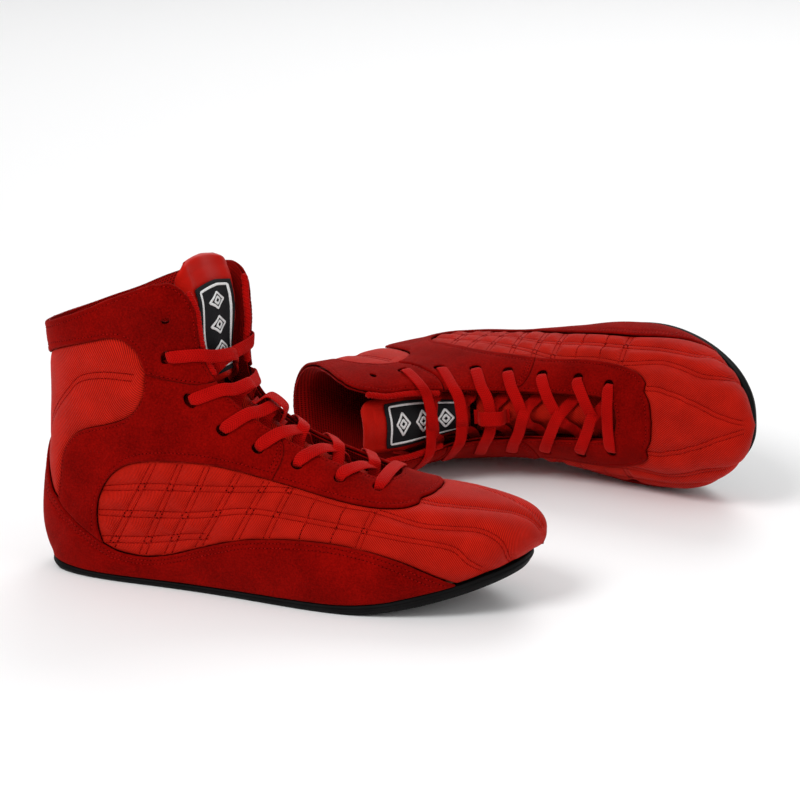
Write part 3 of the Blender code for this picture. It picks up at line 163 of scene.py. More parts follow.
# Seams and edges in the side view: x and z of the points they pass through, the same on both sides.
COLLAR_TOP = [(-0.6, 144.0), (10.0, 147.5), (24.0, 153.0), (37.0, 158.0), (50.0, 164.0), (62.0, 171.0),
              (70.0, 176.0), (77.0, 179.5)]
COLLAR_LOW = [(3.5, 125.0), (14.0, 131.5), (29.0, 137.0), (46.0, 142.0), (57.0, 145.0), (64.0, 144.5),
              (71.0, 139.5), (75.5, 132.5), (77.5, 125.5)]
COLLAR_FRONT = [(77.5, 125.5), (86.0, 124.0), (97.0, 122.0), (107.0, 120.5)]
ANKLE_EDGE = [(77.5, 125.5), (76.0, 114.5), (72.0, 106.0), (63.5, 99.0), (52.0, 94.5), (41.0, 91.5),
              (32.0, 87.5), (24.5, 80.0), (20.0, 71.0), (18.5, 61.5), (17.0, 53.0), (16.0, 45.5)]
HEEL_TOP = [(3.3, 78.0), (5.0, 67.0), (8.0, 56.5), (11.5, 49.5), (16.0, 45.5)]
RAND_BACK = [(16.0, 45.5), (20.0, 40.5), (25.0, 36.5), (31.0, 32.5), (38.5, 28.0), (45.5, 23.5)]
RAND_TOP = [(45.5, 23.5), (56.0, 19.5), (73.0, 18.5), (91.0, 22.5), (110.0, 29.5), (133.0, 36.5),
            (158.0, 40.0), (182.0, 41.0), (206.0, 39.0), (227.0, 34.5), (240.0, 29.5), (250.0, 24.5),
            (256.5, 20.6)]
QUILT_BACK = [(45.5, 23.5), (43.0, 34.0), (43.0, 44.0), (45.0, 53.0), (50.0, 62.5), (58.0, 70.0),
              (69.0, 74.5), (90.0, 77.0), (112.0, 76.8), (129.0, 74.5), (149.0, 70.5)]
EYESTAY_LOW = [(149.0, 70.5), (166.0, 67.0), (183.0, 63.5), (198.0, 61.0), (212.0, 59.8), (224.0, 60.3),
               (232.0, 62.3)]
EYESTAY_SEAM = [(149.0, 70.5), (153.0, 80.0), (152.5, 87.5), (147.0, 94.0)]
FOAM_TOP = [(0.2, 138.0), (24.0, 147.0), (50.0, 157.0), (66.0, 166.0)]
FOAM_FRONT = [(66.0, 166.0), (71.0, 148.0), (66.0, 126.0), (58.0, 108.0)]
FOAM_LOW = [(58.0, 108.0), (40.0, 99.0), (20.0, 92.0), (4.3, 88.0)]

# Lace holes and the throat's edge, in throat coordinates: along the crest from the toe tip, and across.
HOLES = [(102.0, 22.0), (123.0, 26.0), (147.0, 28.5), (168.0, 32.0), (187.0, 36.0), (205.0, 38.5),
         (226.0, 40.0), (247.0, 39.5)]
THROAT_EDGE = [(96.0, 0.0), (97.5, 7.0), (101.0, 12.0), (108.0, 14.0), (123.0, 15.0), (147.0, 16.0),
               (168.0, 17.0), (187.0, 18.0), (205.0, 19.0), (226.0, 21.0), (247.0, 22.5), (262.0, 26.0)]
THROAT_FOOT, STAY_END, FLAP_FOOT, FLAP_TURN = 96.0, 165.0, 206.0, 258.0  # lengths along the crest
FLAP_TIP = [(266.0, 28.5), (271.0, 33.5), (272.5, 41.0)]
USED_HOLES = 7
HOLE, SPARE_HOLE = 3.1, 2.2  # radius of a lace hole, and of the unused one at the top
SIDES = (1, -1)  # the outer and the inner side


# ---------------------------------------------------------------- the lasted surface
def spline_moments(rows):
    """Second derivatives of the natural cubic spline through the rows."""
    system = np.eye(len(rows))
    right = np.zeros_like(rows)
    for i in range(1, len(rows) - 1):
        system[i, i - 1:i + 2] = 1, 4, 1
        right[i] = 6 * (rows[i - 1] - 2 * rows[i] + rows[i + 1])
    return np.linalg.solve(system, right)


MOMENTS = spline_moments(SECTIONS)


def section_at(u):
    u = np.clip(np.asarray(u, float), 0, LAST)
    i = np.minimum(u.astype(int), LAST - 1)
    t = (u - i)[..., None]
    s = 1 - t
    bend_terms = ((s**3 - s) * MOMENTS[i] + (t**3 - t) * MOMENTS[i + 1]) / 6
    return s * SECTIONS[i] + t * SECTIONS[i + 1] + bend_terms


def start_angle(foot, wide, n):
    """The angle on the section's oval where the sole edge cuts it."""
    return -np.arccos(np.clip(foot / wide, 0, 1) ** (n / 2))


def shape(u, m):
    """Points of the last: u counts sections, m runs -1 (inner edge), 0 (crest), 1 (outer edge)."""
    k = section_at(u)
    side = np.where(m < 0, -1.0, 1.0)
    foot = np.where(side > 0, k[..., 4], k[..., 5]).clip(0)
    wide = np.where(side > 0, k[..., 6], k[..., 7]).clip(0.02)
    n = k[..., 8]
    start = start_angle(foot, wide, n)
    angle = start + (np.pi / 2 - start) * (1 - np.abs(m))
    low = -np.abs(np.sin(start)) ** (2 / n)
    sine = np.sin(angle)
    rise = (np.sign(sine) * np.abs(sine) ** (2 / n) - low) / (1 - low)
    across = wide * np.cos(angle).clip(0) ** (2 / n)
    x = k[..., 0] + rise * (k[..., 2] - k[..., 0])
    z = k[..., 1] + rise * (k[..., 3] - k[..., 1])
    return np.stack([x, side * across, z], -1)


def ramp(value, low, high):
    t = np.clip((value - low) / (high - low), 0, 1)
    return t * t * (3 - 2 * t)


def bend(points, boot):
    """Turns the soft shaft about the leg and spreads its two flaps."""
    x, a, z = points[..., 0], points[..., 1], points[..., 2]
    front = ramp(x, 50, 95) * ramp(z, 95, 150)
    outer, inner = boot["flare"]
    top_front = ramp(x, 50, 80) * ramp(z, 130, 172)
    tip_out, tip_in = boot["tip"]
    spread_out = (front * outer + top_front * tip_out) * ramp(a, 2, 24)
    spread_in = (front * inner + top_front * tip_in) * ramp(-a, 2, 24)
    x = x + spread_out + spread_in
    a = a + 0.45 * (spread_out - spread_in)
    angle = np.radians(boot["twist"]) * ramp(z, 60, 150)
    ahead = x - 60
    turned_x = 60 + ahead * np.cos(angle) - a * np.sin(angle)
    turned_a = ahead * np.sin(angle) + a * np.cos(angle)
    return np.stack([turned_x, turned_a, z], -1)


def skin(boot, u, m, lift):
    """Points lift millimetres outside the last, and the outward normals there."""
    u, m, lift = np.broadcast_arrays(np.asarray(u, float), np.asarray(m, float), np.asarray(lift, float))
    du, dm = 0.02, 0.004
    along = bend(shape(np.clip(u + du, 0, LAST), m), boot) - bend(shape(np.clip(u - du, 0, LAST), m), boot)
    across = bend(shape(u, np.clip(m + dm, -1, 1)), boot) - bend(shape(u, np.clip(m - dm, -1, 1)), boot)
    normal = np.cross(across, along)
    normal /= np.linalg.norm(normal, axis=-1, keepdims=True).clip(1e-12)
    return bend(shape(u, m), boot) + normal * lift[..., None], normal


# ---------------------------------------------------------------- lengths on the surface
U_TABLE = np.linspace(0, LAST, LAST * 12 + 1)
M_TABLE = np.linspace(0, 1, 97)


def girth_rows(side):
    grid = shape(U_TABLE[:, None], side * np.maximum(M_TABLE, 1e-9)[None, :])
    step = np.linalg.norm(np.diff(grid, axis=1), axis=-1)
    return np.concatenate([np.zeros((len(grid), 1)), np.cumsum(step, axis=1)], axis=1)


GIRTH = {1: girth_rows(1), -1: girth_rows(-1)}


def running_length(points):
    return np.concatenate([[0], np.cumsum(np.linalg.norm(np.diff(points, axis=0), axis=1))])


ROWS = section_at(U_TABLE)
RUN = running_length(shape(U_TABLE, np.full(len(U_TABLE), 0.6)))
CREST = ROWS[:, 2:4]
CREST_RUN = running_length(CREST)


def between_rows(table, u):
    place = np.clip(np.asarray(u, float) / LAST, 0, 1) * (len(U_TABLE) - 1)
    i = np.minimum(place.astype(int), len(U_TABLE) - 2)
    f = (place - i)[..., None]
    return table[i] * (1 - f) + table[i + 1] * f


def girth_of(u, m):
    """Signed length from the crest to m, along section u."""
    out = np.empty(len(u))
    for side in (1, -1):
        pick = (m >= 0) == (side > 0)
        rows = between_rows(GIRTH[side], u[pick])
        place = np.abs(m[pick]) * (len(M_TABLE) - 1)
        i = np.minimum(place.astype(int), len(M_TABLE) - 2)
        f = place - i
        r = np.arange(len(i))
        out[pick] = side * (rows[r, i] * (1 - f) + rows[r, i + 1] * f)
    return out


def m_of_girth(u, girth):
    out = np.empty(len(u))
    for side in (1, -1):
        pick = (girth >= 0) == (side > 0)
        rows = between_rows(GIRTH[side], u[pick])
        length = np.abs(girth[pick])
        i = np.clip((rows <= length[:, None]).sum(1) - 1, 0, len(M_TABLE) - 2)
        r = np.arange(len(i))
        f = (length - rows[r, i]) / (rows[r, i + 1] - rows[r, i]).clip(1e-9)
        out[pick] = side * np.clip((i + f) / (len(M_TABLE) - 1), 0, 1)
    return out


def from_side(x, z, side):
    """Side-view points to (u, m) on one side of the boot."""
    base, tip = ROWS[:, :2], ROWS[:, 2:4]
    line = tip - base
    size = np.hypot(line[:, 0], line[:, 1])
    px, pz = x[:, None] - base[:, 0], z[:, None] - base[:, 1]
    cross = (px * line[:, 1] - pz * line[:, 0]) / size
    along = (px * line[:, 0] + pz * line[:, 1]) / size**2
    inside = (along > -0.1) & (along < 1.1)
    change = (cross[:, :-1] * cross[:, 1:] <= 0) & inside[:, :-1]
    nearest = np.minimum((np.abs(cross) + 1e3 * ~inside).argmin(1), len(U_TABLE) - 2)
    i = np.where(change.any(1), change.argmax(1), nearest)
    r = np.arange(len(x))
    f = np.clip(cross[r, i] / (cross[r, i] - cross[r, i + 1] + 1e-12), 0, 1)
    u = U_TABLE[i] + f * (U_TABLE[i + 1] - U_TABLE[i])
    rise = np.clip(along[r, i] * (1 - f) + along[r, i + 1] * f, 0, 1)
    k = section_at(u)
    foot, wide = k[:, 4 if side > 0 else 5].clip(0), k[:, 6 if side > 0 else 7].clip(0.02)
    start = start_angle(foot, wide, k[:, 8])
    low = -np.abs(np.sin(start)) ** (2 / k[:, 8])
    level = low + (1 - low) * rise
    angle = np.sign(level) * np.arcsin(np.clip(np.abs(level) ** (k[:, 8] / 2), 0, 1))
    m = 1 - (angle - start) / (np.pi / 2 - start)
    return u, side * np.clip(m, 1e-9, 1)


def crest_at(c):
    """The crest's point at length c, and the direction into the boot there, in the side view."""
    here, ahead, behind = (
        np.stack([np.interp(c + d, CREST_RUN, CREST[:, j]) for j in (0, 1)], -1) for d in (0, 3, -3)
    )
    tangent = ahead - behind
    tangent /= np.linalg.norm(tangent, axis=-1, keepdims=True)
    return here, np.stack([-tangent[..., 1], tangent[..., 0]], -1)


C_TABLE = np.linspace(4, CREST_RUN[-1] - 4, 80)
DEPTHS = 62 * np.linspace(0, 1, 50) ** 2


def throat_rows(side):
    here, inward = crest_at(C_TABLE)
    points = here[:, None, :] + DEPTHS[None, :, None] * inward[:, None, :]
    u, m = from_side(points[..., 0].ravel(), points[..., 1].ravel(), side)
    grid = shape(u, m).reshape(len(C_TABLE), len(DEPTHS), 3)
    step = np.linalg.norm(np.diff(grid, axis=1), axis=-1)
    girth = np.concatenate([np.zeros((len(grid), 1)), np.cumsum(step, axis=1)], axis=1)
    return girth, u.reshape(girth.shape), m.reshape(girth.shape)


THROAT = {side: throat_rows(side) for side in (1, -1)}


def from_throat(c, q):
    """Throat coordinates to (u, m): c along the crest, q across it, plus on the outer side."""
    u_out, m_out = np.empty(len(c)), np.empty(len(c))
    place = np.clip((c - C_TABLE[0]) / (C_TABLE[1] - C_TABLE[0]), 0, len(C_TABLE) - 1.001)
    for side in (1, -1):
        pick = (q >= 0) == (side > 0)
        i = place[pick].astype(int)
        f = (place[pick] - i)[:, None]
        girth, u_rows, m_rows = (table[i] * (1 - f) + table[i + 1] * f for table in THROAT[side])
        length = np.abs(q[pick])
        j = np.clip((girth <= length[:, None]).sum(1) - 1, 0, len(DEPTHS) - 2)
        r = np.arange(len(j))
        w = (length - girth[r, j]) / (girth[r, j + 1] - girth[r, j]).clip(1e-9)
        u_out[pick] = u_rows[r, j] * (1 - w) + u_rows[r, j + 1] * w
        m_out[pick] = m_rows[r, j] * (1 - w) + m_rows[r, j + 1] * w
    return u_out, m_out


# ---------------------------------------------------------------- flat patterns of the surface
# A pattern lays (u, m) out flat in millimetres. OVER joins the two sides at the crest, ROUND joins
# them at the back of the heel.
def over_flat(u, m):
    return np.stack([np.interp(u, U_TABLE, RUN), girth_of(u, m)], -1)


def over_surface(p):
    u = np.interp(p[:, 0], RUN, U_TABLE)
    return u, m_of_girth(u, p[:, 1])


def sole_half(u, side):
    return section_at(u)[..., 4 if side > 0 else 5].clip(0)


def round_flat(u, m):
    side = np.where(m < 0, -1.0, 1.0)
    whole = np.where(m < 0, -girth_of(u, np.full_like(u, -1.0)), girth_of(u, np.ones_like(u)))
    sole = np.where(m < 0, sole_half(u, -1), sole_half(u, 1))
    return np.stack([np.interp(u, U_TABLE, RUN), side * (whole - np.abs(girth_of(u, m)) + sole)], -1)


def round_surface(p):
    u = np.interp(p[:, 0], RUN, U_TABLE)
    side = np.where(p[:, 1] < 0, -1.0, 1.0)
    whole = np.where(side < 0, -girth_of(u, np.full_like(u, -1.0)), girth_of(u, np.ones_like(u)))
    sole = np.where(side < 0, sole_half(u, -1), sole_half(u, 1))
    length = np.clip(whole - (np.abs(p[:, 1]) - sole), 1e-6, whole)
    return u, m_of_girth(u, side * length)


OVER = (over_flat, over_surface)
ROUND = (round_flat, round_surface)


def catmull_rom(points, samples):
    """A smooth line through the points, with that many samples in each span."""
    p = np.array(points, float)
    p = np.vstack([2 * p[0] - p[1], p, 2 * p[-1] - p[-2]])
    t = np.linspace(0, 1, samples, endpoint=False)[:, None]
    spans = [
        0.5 * (2 * b + (c - a) * t + (2 * a - 5 * b + 4 * c - d) * t**2 + (3 * b - a - 3 * c + d) * t**3)
        for a, b, c, d in zip(p, p[1:], p[2:], p[3:])
    ]
    return np.vstack(spans + [p[-2][None]])


def at_lengths(line, run, lengths):
    """The line's columns at some running lengths."""
    return np.stack([np.interp(lengths, run, column) for column in line.T], -1)


def even_lengths(total, step):
    return np.linspace(0, total, max(2, int(round(total / step)) + 1))


def smooth_line(points, step):
    """A smooth line through the points, with evenly spaced points about a step apart."""
    line = catmull_rom(points, 12)
    run = running_length(line)
    return at_lengths(line, run, even_lengths(run[-1], step))


def spaced(u, m, step):
    """Points of the last evenly spaced along a line of them."""
    run = running_length(shape(u, m))
    even = even_lengths(run[-1], step)
    return np.interp(even, run, u), np.interp(even, run, m)


# Each boot: its place in the row frame, and how its soft shaft and tongue sit.
RIGHT = dict(name="right", mirror=-1, at=(-210.0, -96.0, 0.0), turn=(0.0, 0.0, -16.8), twist=8.0,
             flare=(0.0, 13.0), tip=(11.0, 6.0), slide=0.0, lean=7.0)
LEFT = dict(name="left", mirror=1, at=(24.3, 214.7, 30.8), turn=(88.8, -5.1, -44.1), twist=0.0,
            flare=(7.0, 9.0), tip=(0.0, 0.0), slide=-15.0, lean=0.0)
STEP = 1.7  # mesh spacing of the panels, mm
FINE_STEP = 1.1  # spacing of the points along a seam
LINING_STEP = 2.6


def side_line(pattern, line, side, step=FINE_STEP):
    line = smooth_line(line, 0.3)
    u, m = from_side(line[:, 0], line[:, 1], side)
    return pattern[0](*spaced(u, m, step))


def throat_line(pattern, points, side, step=FINE_STEP):
    line = smooth_line(points, step)
    u, m = from_throat(line[:, 0], side * np.maximum(line[:, 1], 1e-6))
    return pattern[0](u, m)


def edge_line(pattern, start, end, side, share=1.0, step=FINE_STEP):
    """Along the edge of the upper, where it meets the sole, or a share of the way down to it."""
    u = np.linspace(start, end, 400)
    return pattern[0](*spaced(u, np.full_like(u, side * share), step))


def section_line(pattern, u, start, end, step=FINE_STEP):
    """Across the boot along one section."""
    m = np.linspace(start, end, 200)
    u = np.full_like(m, u)
    return pattern[0](*spaced(u, m, step))


def joined(*lines):
    """One closed loop of lines whose neighbouring ends meet halfway."""
    lines = [np.array(line) for line in lines]
    for i, line in enumerate(lines):
        following = lines[(i + 1) % len(lines)]
        middle = (line[-1] + following[0]) / 2
        line[-1] = middle
        following[0] = middle
    return np.vstack([line[:-1] for line in lines])


def mirrored(make_half):
    """A closed loop of two halves; each runs from the middle line, down its side and back to it."""
    outer, inner = (np.vstack(make_half(side)) for side in (1, -1))
    loop = np.vstack([outer, inner[::-1]])
    keep = np.linalg.norm(loop - np.roll(loop, 1, axis=0), axis=1) > 0.05
    return loop[keep]


def throat_edge_at(c):
    knots = np.array(THROAT_EDGE)
    return np.interp(c, knots[:, 0], knots[:, 1])


def throat_run(low, high):
    """The throat's edge between two lengths along the crest."""
    inner = [p for p in THROAT_EDGE if low < p[0] < high]
    return [(low, throat_edge_at(low))] + inner + [(high, throat_edge_at(high))]


# ---------------------------------------------------------------- filling a loop with a fine mesh
def area_of(loop):
    nxt = np.roll(loop, -1, axis=0)
    return 0.5 * (loop[:, 0] * nxt[:, 1] - loop[:, 1] * nxt[:, 0]).sum()


def inset(loop, distance):
    """The loop drawn in by a distance, except along the toe tip, where its two sides join."""
    sign = 1 if area_of(loop) > 0 else -1
    back, ahead = loop - np.roll(loop, 1, axis=0), np.roll(loop, -1, axis=0) - loop
    back, ahead = unit(back), unit(ahead)
    normal = sign * np.stack([-(back[:, 1] + ahead[:, 1]), back[:, 0] + ahead[:, 0]], -1)
    size = np.linalg.norm(normal, axis=1, keepdims=True).clip(0.7)
    moved = loop + distance * 2 * normal / size**2
    return np.where(loop[:, :1] < TIP_EDGE, loop, moved)


def inside(points, loop, chunk=8000):
    """Which points a loop holds."""
    nxt = np.roll(loop, -1, axis=0)
    rise = np.where(nxt[:, 1] == loop[:, 1], 1e-12, nxt[:, 1] - loop[:, 1])
    slope = (nxt[:, 0] - loop[:, 0]) / rise
    out = np.zeros(len(points), bool)
    for first in range(0, len(points), chunk):
        x, y = points[first:first + chunk, 0][:, None], points[first:first + chunk, 1][:, None]
        spans = (loop[:, 1] > y) != (nxt[:, 1] > y)
        cut = loop[:, 0] + (y - loop[:, 1]) * slope
        out[first:first + chunk] = ((spans & (x < cut)).sum(1) % 2) == 1
    return out


def lattice(loop, step):
    low, high = loop.min(0), loop.max(0)
    rows = np.arange(low[1] + step / 2, high[1], step * math.sqrt(3) / 2)
    columns = np.arange(low[0] + step / 4, high[0], step)
    x = columns[None, :] + (step / 2) * (np.arange(len(rows)) % 2)[:, None]
    y = np.repeat(rows[:, None], len(columns), axis=1)
    return np.stack([x.ravel(), y.ravel()], -1)


def tree_of(points):
    tree = KDTree(len(points))
    for i, p in enumerate(points):
        tree.insert((p[0], p[1], 0.0), i)
    tree.balance()
    return tree


def distances(tree, points):
    return np.array([tree.find((x, y, 0.0))[2] for x, y in points]) if len(points) else np.zeros(0)


def dense(line, step=0.25):
    """The same open polyline with points about a step apart."""
    run = running_length(line)
    return at_lengths(line, run, np.linspace(0, run[-1], max(2, int(run[-1] / step) + 1)))


def rim_points(loop):
    """Dense points of a loop's real edge: the toe tip, where its two sides join, isn't one."""
    closed = dense(np.vstack([loop, loop[:1]]))
    return closed[closed[:, 0] > 0.5]


def thinned(points, cell):
    """One point for each cell of a grid."""
    if not len(points):
        return points
    _, first = np.unique(np.round(points / cell).astype(int), axis=0, return_index=True)
    return points[np.sort(first)]


def fill(loop, holes, step, extra):
    """Points and triangles that fill a loop round its holes, with the extra points among them."""
    rings = [loop] + list(holes)
    rim = np.vstack(rings)

    def within(points):
        keep = inside(points, loop)
        for hole in holes:
            keep &= ~inside(points, hole)
        return keep

    rim_tree = tree_of(rim)
    extra = thinned(extra, 0.45)
    if len(extra):
        extra = extra[within(extra)]
        extra = extra[distances(rim_tree, extra) > 0.28]
    middle = lattice(loop, step)
    middle = middle[within(middle)]
    middle = middle[distances(tree_of(np.vstack([rim, extra])), middle) > 0.6 * step]
    points = np.vstack([rim, extra, middle])
    edges, first = [], 0
    for ring in rings:
        edges += [(first + i, first + (i + 1) % len(ring)) for i in range(len(ring))]
        first += len(ring)
    made = delaunay_2d_cdt([Vector(p) for p in points], edges, [], 0, 1e-6)
    flat = np.array([tuple(p) for p in made[0]])
    faces = np.array(made[2])
    corners = flat[faces]
    keep = within(corners.mean(1))
    one, two = corners[:, 1] - corners[:, 0], corners[:, 2] - corners[:, 0]
    size = one[:, 0] * two[:, 1] - one[:, 1] * two[:, 0]
    faces = np.where((size < 0)[:, None], faces[:, ::-1], faces)
    return flat, faces[keep & (np.abs(size) > 1e-5)]


def unit(vectors):
    return vectors / np.linalg.norm(vectors, axis=-1, keepdims=True).clip(1e-9)


def sidewise(line):
    """The direction to the left of a flat line at each of its points."""
    run = unit(np.gradient(line, axis=0))
    return np.stack([-run[:, 1], run[:, 0]], -1)


def shifted(line, distance):
    """An open line moved sideways."""
    return line + distance * sidewise(line)


def rows_inside(loop, line, offset):
    """The stitch line that runs beside an edge of a panel, as open runs inside the panel."""
    tree = tree_of(rim_points(loop))
    best = []
    for sign in (1, -1):
        moved = shifted(line, sign * offset)
        keep = inside(moved, loop) & (distances(tree, moved) > offset - 0.3)
        best.append((keep.sum(), moved, keep))
    _, moved, keep = max(best, key=lambda item: item[0])
    return runs(moved, keep)


def runs(line, keep, least=4):
    out, current = [], []
    for point, good in zip(line, keep):
        if good:
            current.append(point)
        elif current:
            out.append(np.array(current))
            current = []
    if current:
        out.append(np.array(current))
    return [r for r in out if len(r) >= least]


# ---------------------------------------------------------------- objects
BOOT_MATRIX = {}


def boot_matrix(boot):
    if boot["name"] not in BOOT_MATRIX:
        roll, pitch, yaw = (math.radians(v) for v in boot["turn"])
        spin = Matrix.Rotation(yaw, 4, "Z") @ Matrix.Rotation(pitch, 4, "Y") @ Matrix.Rotation(roll, 4, "X")
        BOOT_MATRIX[boot["name"]] = np.array(Matrix.Translation(Vector(boot["at"])) @ spin)
    return BOOT_MATRIX[boot["name"]]


def to_row(boot, points):
    """Boot millimetres to the row frame's metres."""
    local = np.stack([points[:, 0], boot["mirror"] * points[:, 1], points[:, 2]], -1)
    matrix = boot_matrix(boot)
    return (local @ matrix[:3, :3].T + matrix[:3, 3]) * MM


def add_piece(boot, name, points, faces, spec, replaced, body="boot", uv=None):
    """A smooth mesh piece that stands for CAD nodes. Faces are all triangles or all quads."""
    faces = np.asarray(faces)
    if boot["mirror"] < 0:
        faces = faces[:, ::-1]
    sides = faces.shape[1]
    mesh = bpy.data.meshes.new(boot["name"] + "_" + name)
    mesh.vertices.add(len(points))
    mesh.vertices.foreach_set("co", to_row(boot, np.asarray(points)).ravel())
    mesh.loops.add(faces.size)
    mesh.loops.foreach_set("vertex_index", faces.ravel().astype(np.int32))
    mesh.polygons.add(len(faces))
    mesh.polygons.foreach_set("loop_start", np.arange(0, faces.size, sides, dtype=np.int32))
    mesh.update(calc_edges=True)
    mesh.validate()
    if uv is not None:
        layer = mesh.uv_layers.new(name="flat")
        corner = np.empty(len(mesh.loops), np.int32)
        mesh.loops.foreach_get("vertex_index", corner)
        layer.data.foreach_set("uv", (np.asarray(uv)[corner] * MM).ravel())
    mesh.shade_smooth()
    mesh.materials.append(MATERIALS[spec[0]]())
    obj = bpy.data.objects.new("fine_" + boot["name"] + "_" + name, mesh)
    bpy.context.scene.collection.objects.link(obj)
    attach(obj, boot["name"] + ("_boot" if body == "boot" else "_tongue_top"))
    if replaced:
        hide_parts(*[boot["name"] + "_" + node for node in replaced])
    return obj


def outward(boot, u, m, points, faces):
    """Turns a surface's faces so that they look away from the foot."""
    p = points[faces]
    face_normal = np.cross(p[:, 1] - p[:, 0], p[:, 2] - p[:, 0])
    normal = skin(boot, u, m, 0.0)[1][faces[:, 0]]
    if (face_normal * normal).sum() < 0:
        return faces[:, ::-1]
    return faces


FILLED = {}


def panel(boot, name, pattern, loop, spec, relief, thickness, step=STEP, holes=(), extra=None):
    """A panel of leather or cloth, cut out of the lasted surface and given its relief.

    relief maps flat points to their height over the last, in millimetres.
    """
    if name not in FILLED:
        rim = [inset(loop, d) for d in (0.5, 1.1, 2.0)]
        more = rim + ([extra] if extra is not None and len(extra) else [])
        flat, faces = fill(loop, list(holes), step, np.vstack(more))
        u, m = pattern[1](flat)
        FILLED[name] = flat, faces, u, m, relief(flat)
    flat, faces, u, m, lift = FILLED[name]
    points = skin(boot, u, m, lift)[0]
    faces = outward(boot, u, m, points, faces)
    obj = add_piece(boot, name, points, faces, spec, [name], uv=flat)
    weld = obj.modifiers.new("weld", "WELD")
    weld.merge_threshold = 0.0001
    solid = obj.modifiers.new("thickness", "SOLIDIFY")
    solid.thickness = thickness * MM
    solid.offset = -1
    return obj


def hole_ring(pattern, c, q, radius, sides=28):
    """A lace hole's outline."""
    turn = np.linspace(0, 2 * np.pi, sides, endpoint=False)
    u, m = from_throat(c + radius * np.cos(turn), q + radius * np.sin(turn))
    return pattern[0](u, m)


def waves(flat, height):
    """A soft unevenness of worked leather and cloth."""
    x, y = flat[:, 0], flat[:, 1]
    a = np.sin(x / 9.1 + 1.3 * np.sin(y / 13.0)) + np.sin(y / 7.7 + 1.1 * np.sin(x / 17.0) + 2.0)
    b = np.sin((x + y) / 5.3 + np.sin((x - y) / 8.9))
    return height * (0.35 * a + 0.3 * b)


# ---------------------------------------------------------------- stitches
STITCH_PITCH, STITCH_LENGTH, STITCH_RADIUS = 2.3, 1.65, 0.32
# NEEDLE_*: radius, lift and depth of the dark plugs that paint the shade in the needle pricks
NEEDLE_RADIUS, NEEDLE_LIFT, NEEDLE_DEPTH = 0.46, 0.36, 0.2
STITCHES = {"right": [], "left": []}


def stitch(boot, pattern, lines, relief, raise_by=0.12):
    """Threads along flat lines: a row of short arched stitches, sunk at both ends."""
    for line in lines:
        long = dense(line, 0.4)
        u, m = pattern[1](long)
        run = running_length(shape(u, m))
        count = int(run[-1] / STITCH_PITCH)
        if count < 1:
            continue
        start = (np.arange(count) + 0.5) * run[-1] / count
        share = np.array([-0.5, -0.32, 0.32, 0.5]) * STITCH_LENGTH
        at = (start[:, None] + share[None]).ravel()
        flat = at_lengths(long, run, at)
        arch = np.tile([-0.3, raise_by, raise_by, -0.3], count)
        u, m = pattern[1](flat)
        points, normals = skin(boot, u, m, relief(flat) + arch)
        STITCHES[boot["name"]].append((points.reshape(count, 4, 3), normals.reshape(count, 4, 3)))


def add_stitches(boot):
    """All the threads of a boot as one piece."""
    points = np.concatenate([p for p, _ in STITCHES[boot["name"]]])
    normals = np.concatenate([n for _, n in STITCHES[boot["name"]]])
    along = unit(points[:, 3] - points[:, 0])
    across = unit(np.cross(normals, along[:, None, :]))
    up = np.cross(along[:, None, :], across)
    turn = np.array([0.0, 0.5, 1.0, 1.5]) * np.pi + np.pi / 4
    ring = np.cos(turn)[:, None] * across[:, :, None, :] + 0.8 * np.sin(turn)[:, None] * up[:, :, None, :]
    size = np.array([0.6, 1.0, 1.0, 0.6])[None, :, None, None] * STITCH_RADIUS
    verts = points[:, :, None, :] + ring * size
    count = len(points)
    quads = []
    for i in range(3):
        for j in range(4):
            k = (j + 1) % 4
            quads.append((4 * i + j, 4 * i + k, 4 * i + 4 + k, 4 * i + 4 + j))
    quads += [(3, 2, 1, 0), (12, 13, 14, 15)]
    faces = (np.array(quads)[None] + (16 * np.arange(count))[:, None, None]).reshape(-1, 4)
    flat = verts.reshape(-1, 3)
    first = flat[faces[:12]]
    turned = np.cross(first[:, 1] - first[:, 0], first[:, 2] - first[:, 0])
    if ((turned * (first.mean(1) - flat[:16].mean(0))).sum()) < 0:
        faces = faces[:, ::-1]
    add_piece(boot, "stitches", flat, faces, THREAD, [], uv=np.zeros((len(flat), 2)))
    # dark plugs between the stitches: painted shade for the needle pricks
    add_prick_shade_plugs(boot, points[:, 0], normals[:, 0], along, across[:, 0])


def add_prick_shade_plugs(boot, starts, normals, along, across):
    """Dark six-sided plugs between a boot's stitches, as one piece: painted shade for the needle pricks."""
    middle = starts - 0.5 * (STITCH_PITCH - STITCH_LENGTH) * along + NEEDLE_LIFT * normals
    turn = np.arange(6) * np.pi / 3
    ring = np.cos(turn)[:, None] * along[:, None] + np.sin(turn)[:, None] * across[:, None]
    rims = middle[:, None] + NEEDLE_RADIUS * ring
    verts = np.concatenate([rims, rims - NEEDLE_DEPTH * normals[:, None]], axis=1).reshape(-1, 3)
    quads = [(0, 1, 2, 3), (0, 3, 4, 5), (9, 8, 7, 6), (11, 10, 9, 6)]
    quads += [(j, j + 6, (j + 1) % 6 + 6, (j + 1) % 6) for j in range(6)]
    faces = (np.array(quads)[None] + (12 * np.arange(len(starts)))[:, None, None]).reshape(-1, 4)
    a, b, c = (verts[faces[0, k]] for k in range(3))
    if np.dot(np.cross(b - a, c - a), normals[0]) < 0:
        faces = faces[:, ::-1]
    add_piece(boot, "needle_holes", verts, faces, PRICK_SHADE, [], uv=np.zeros((len(verts), 2)))


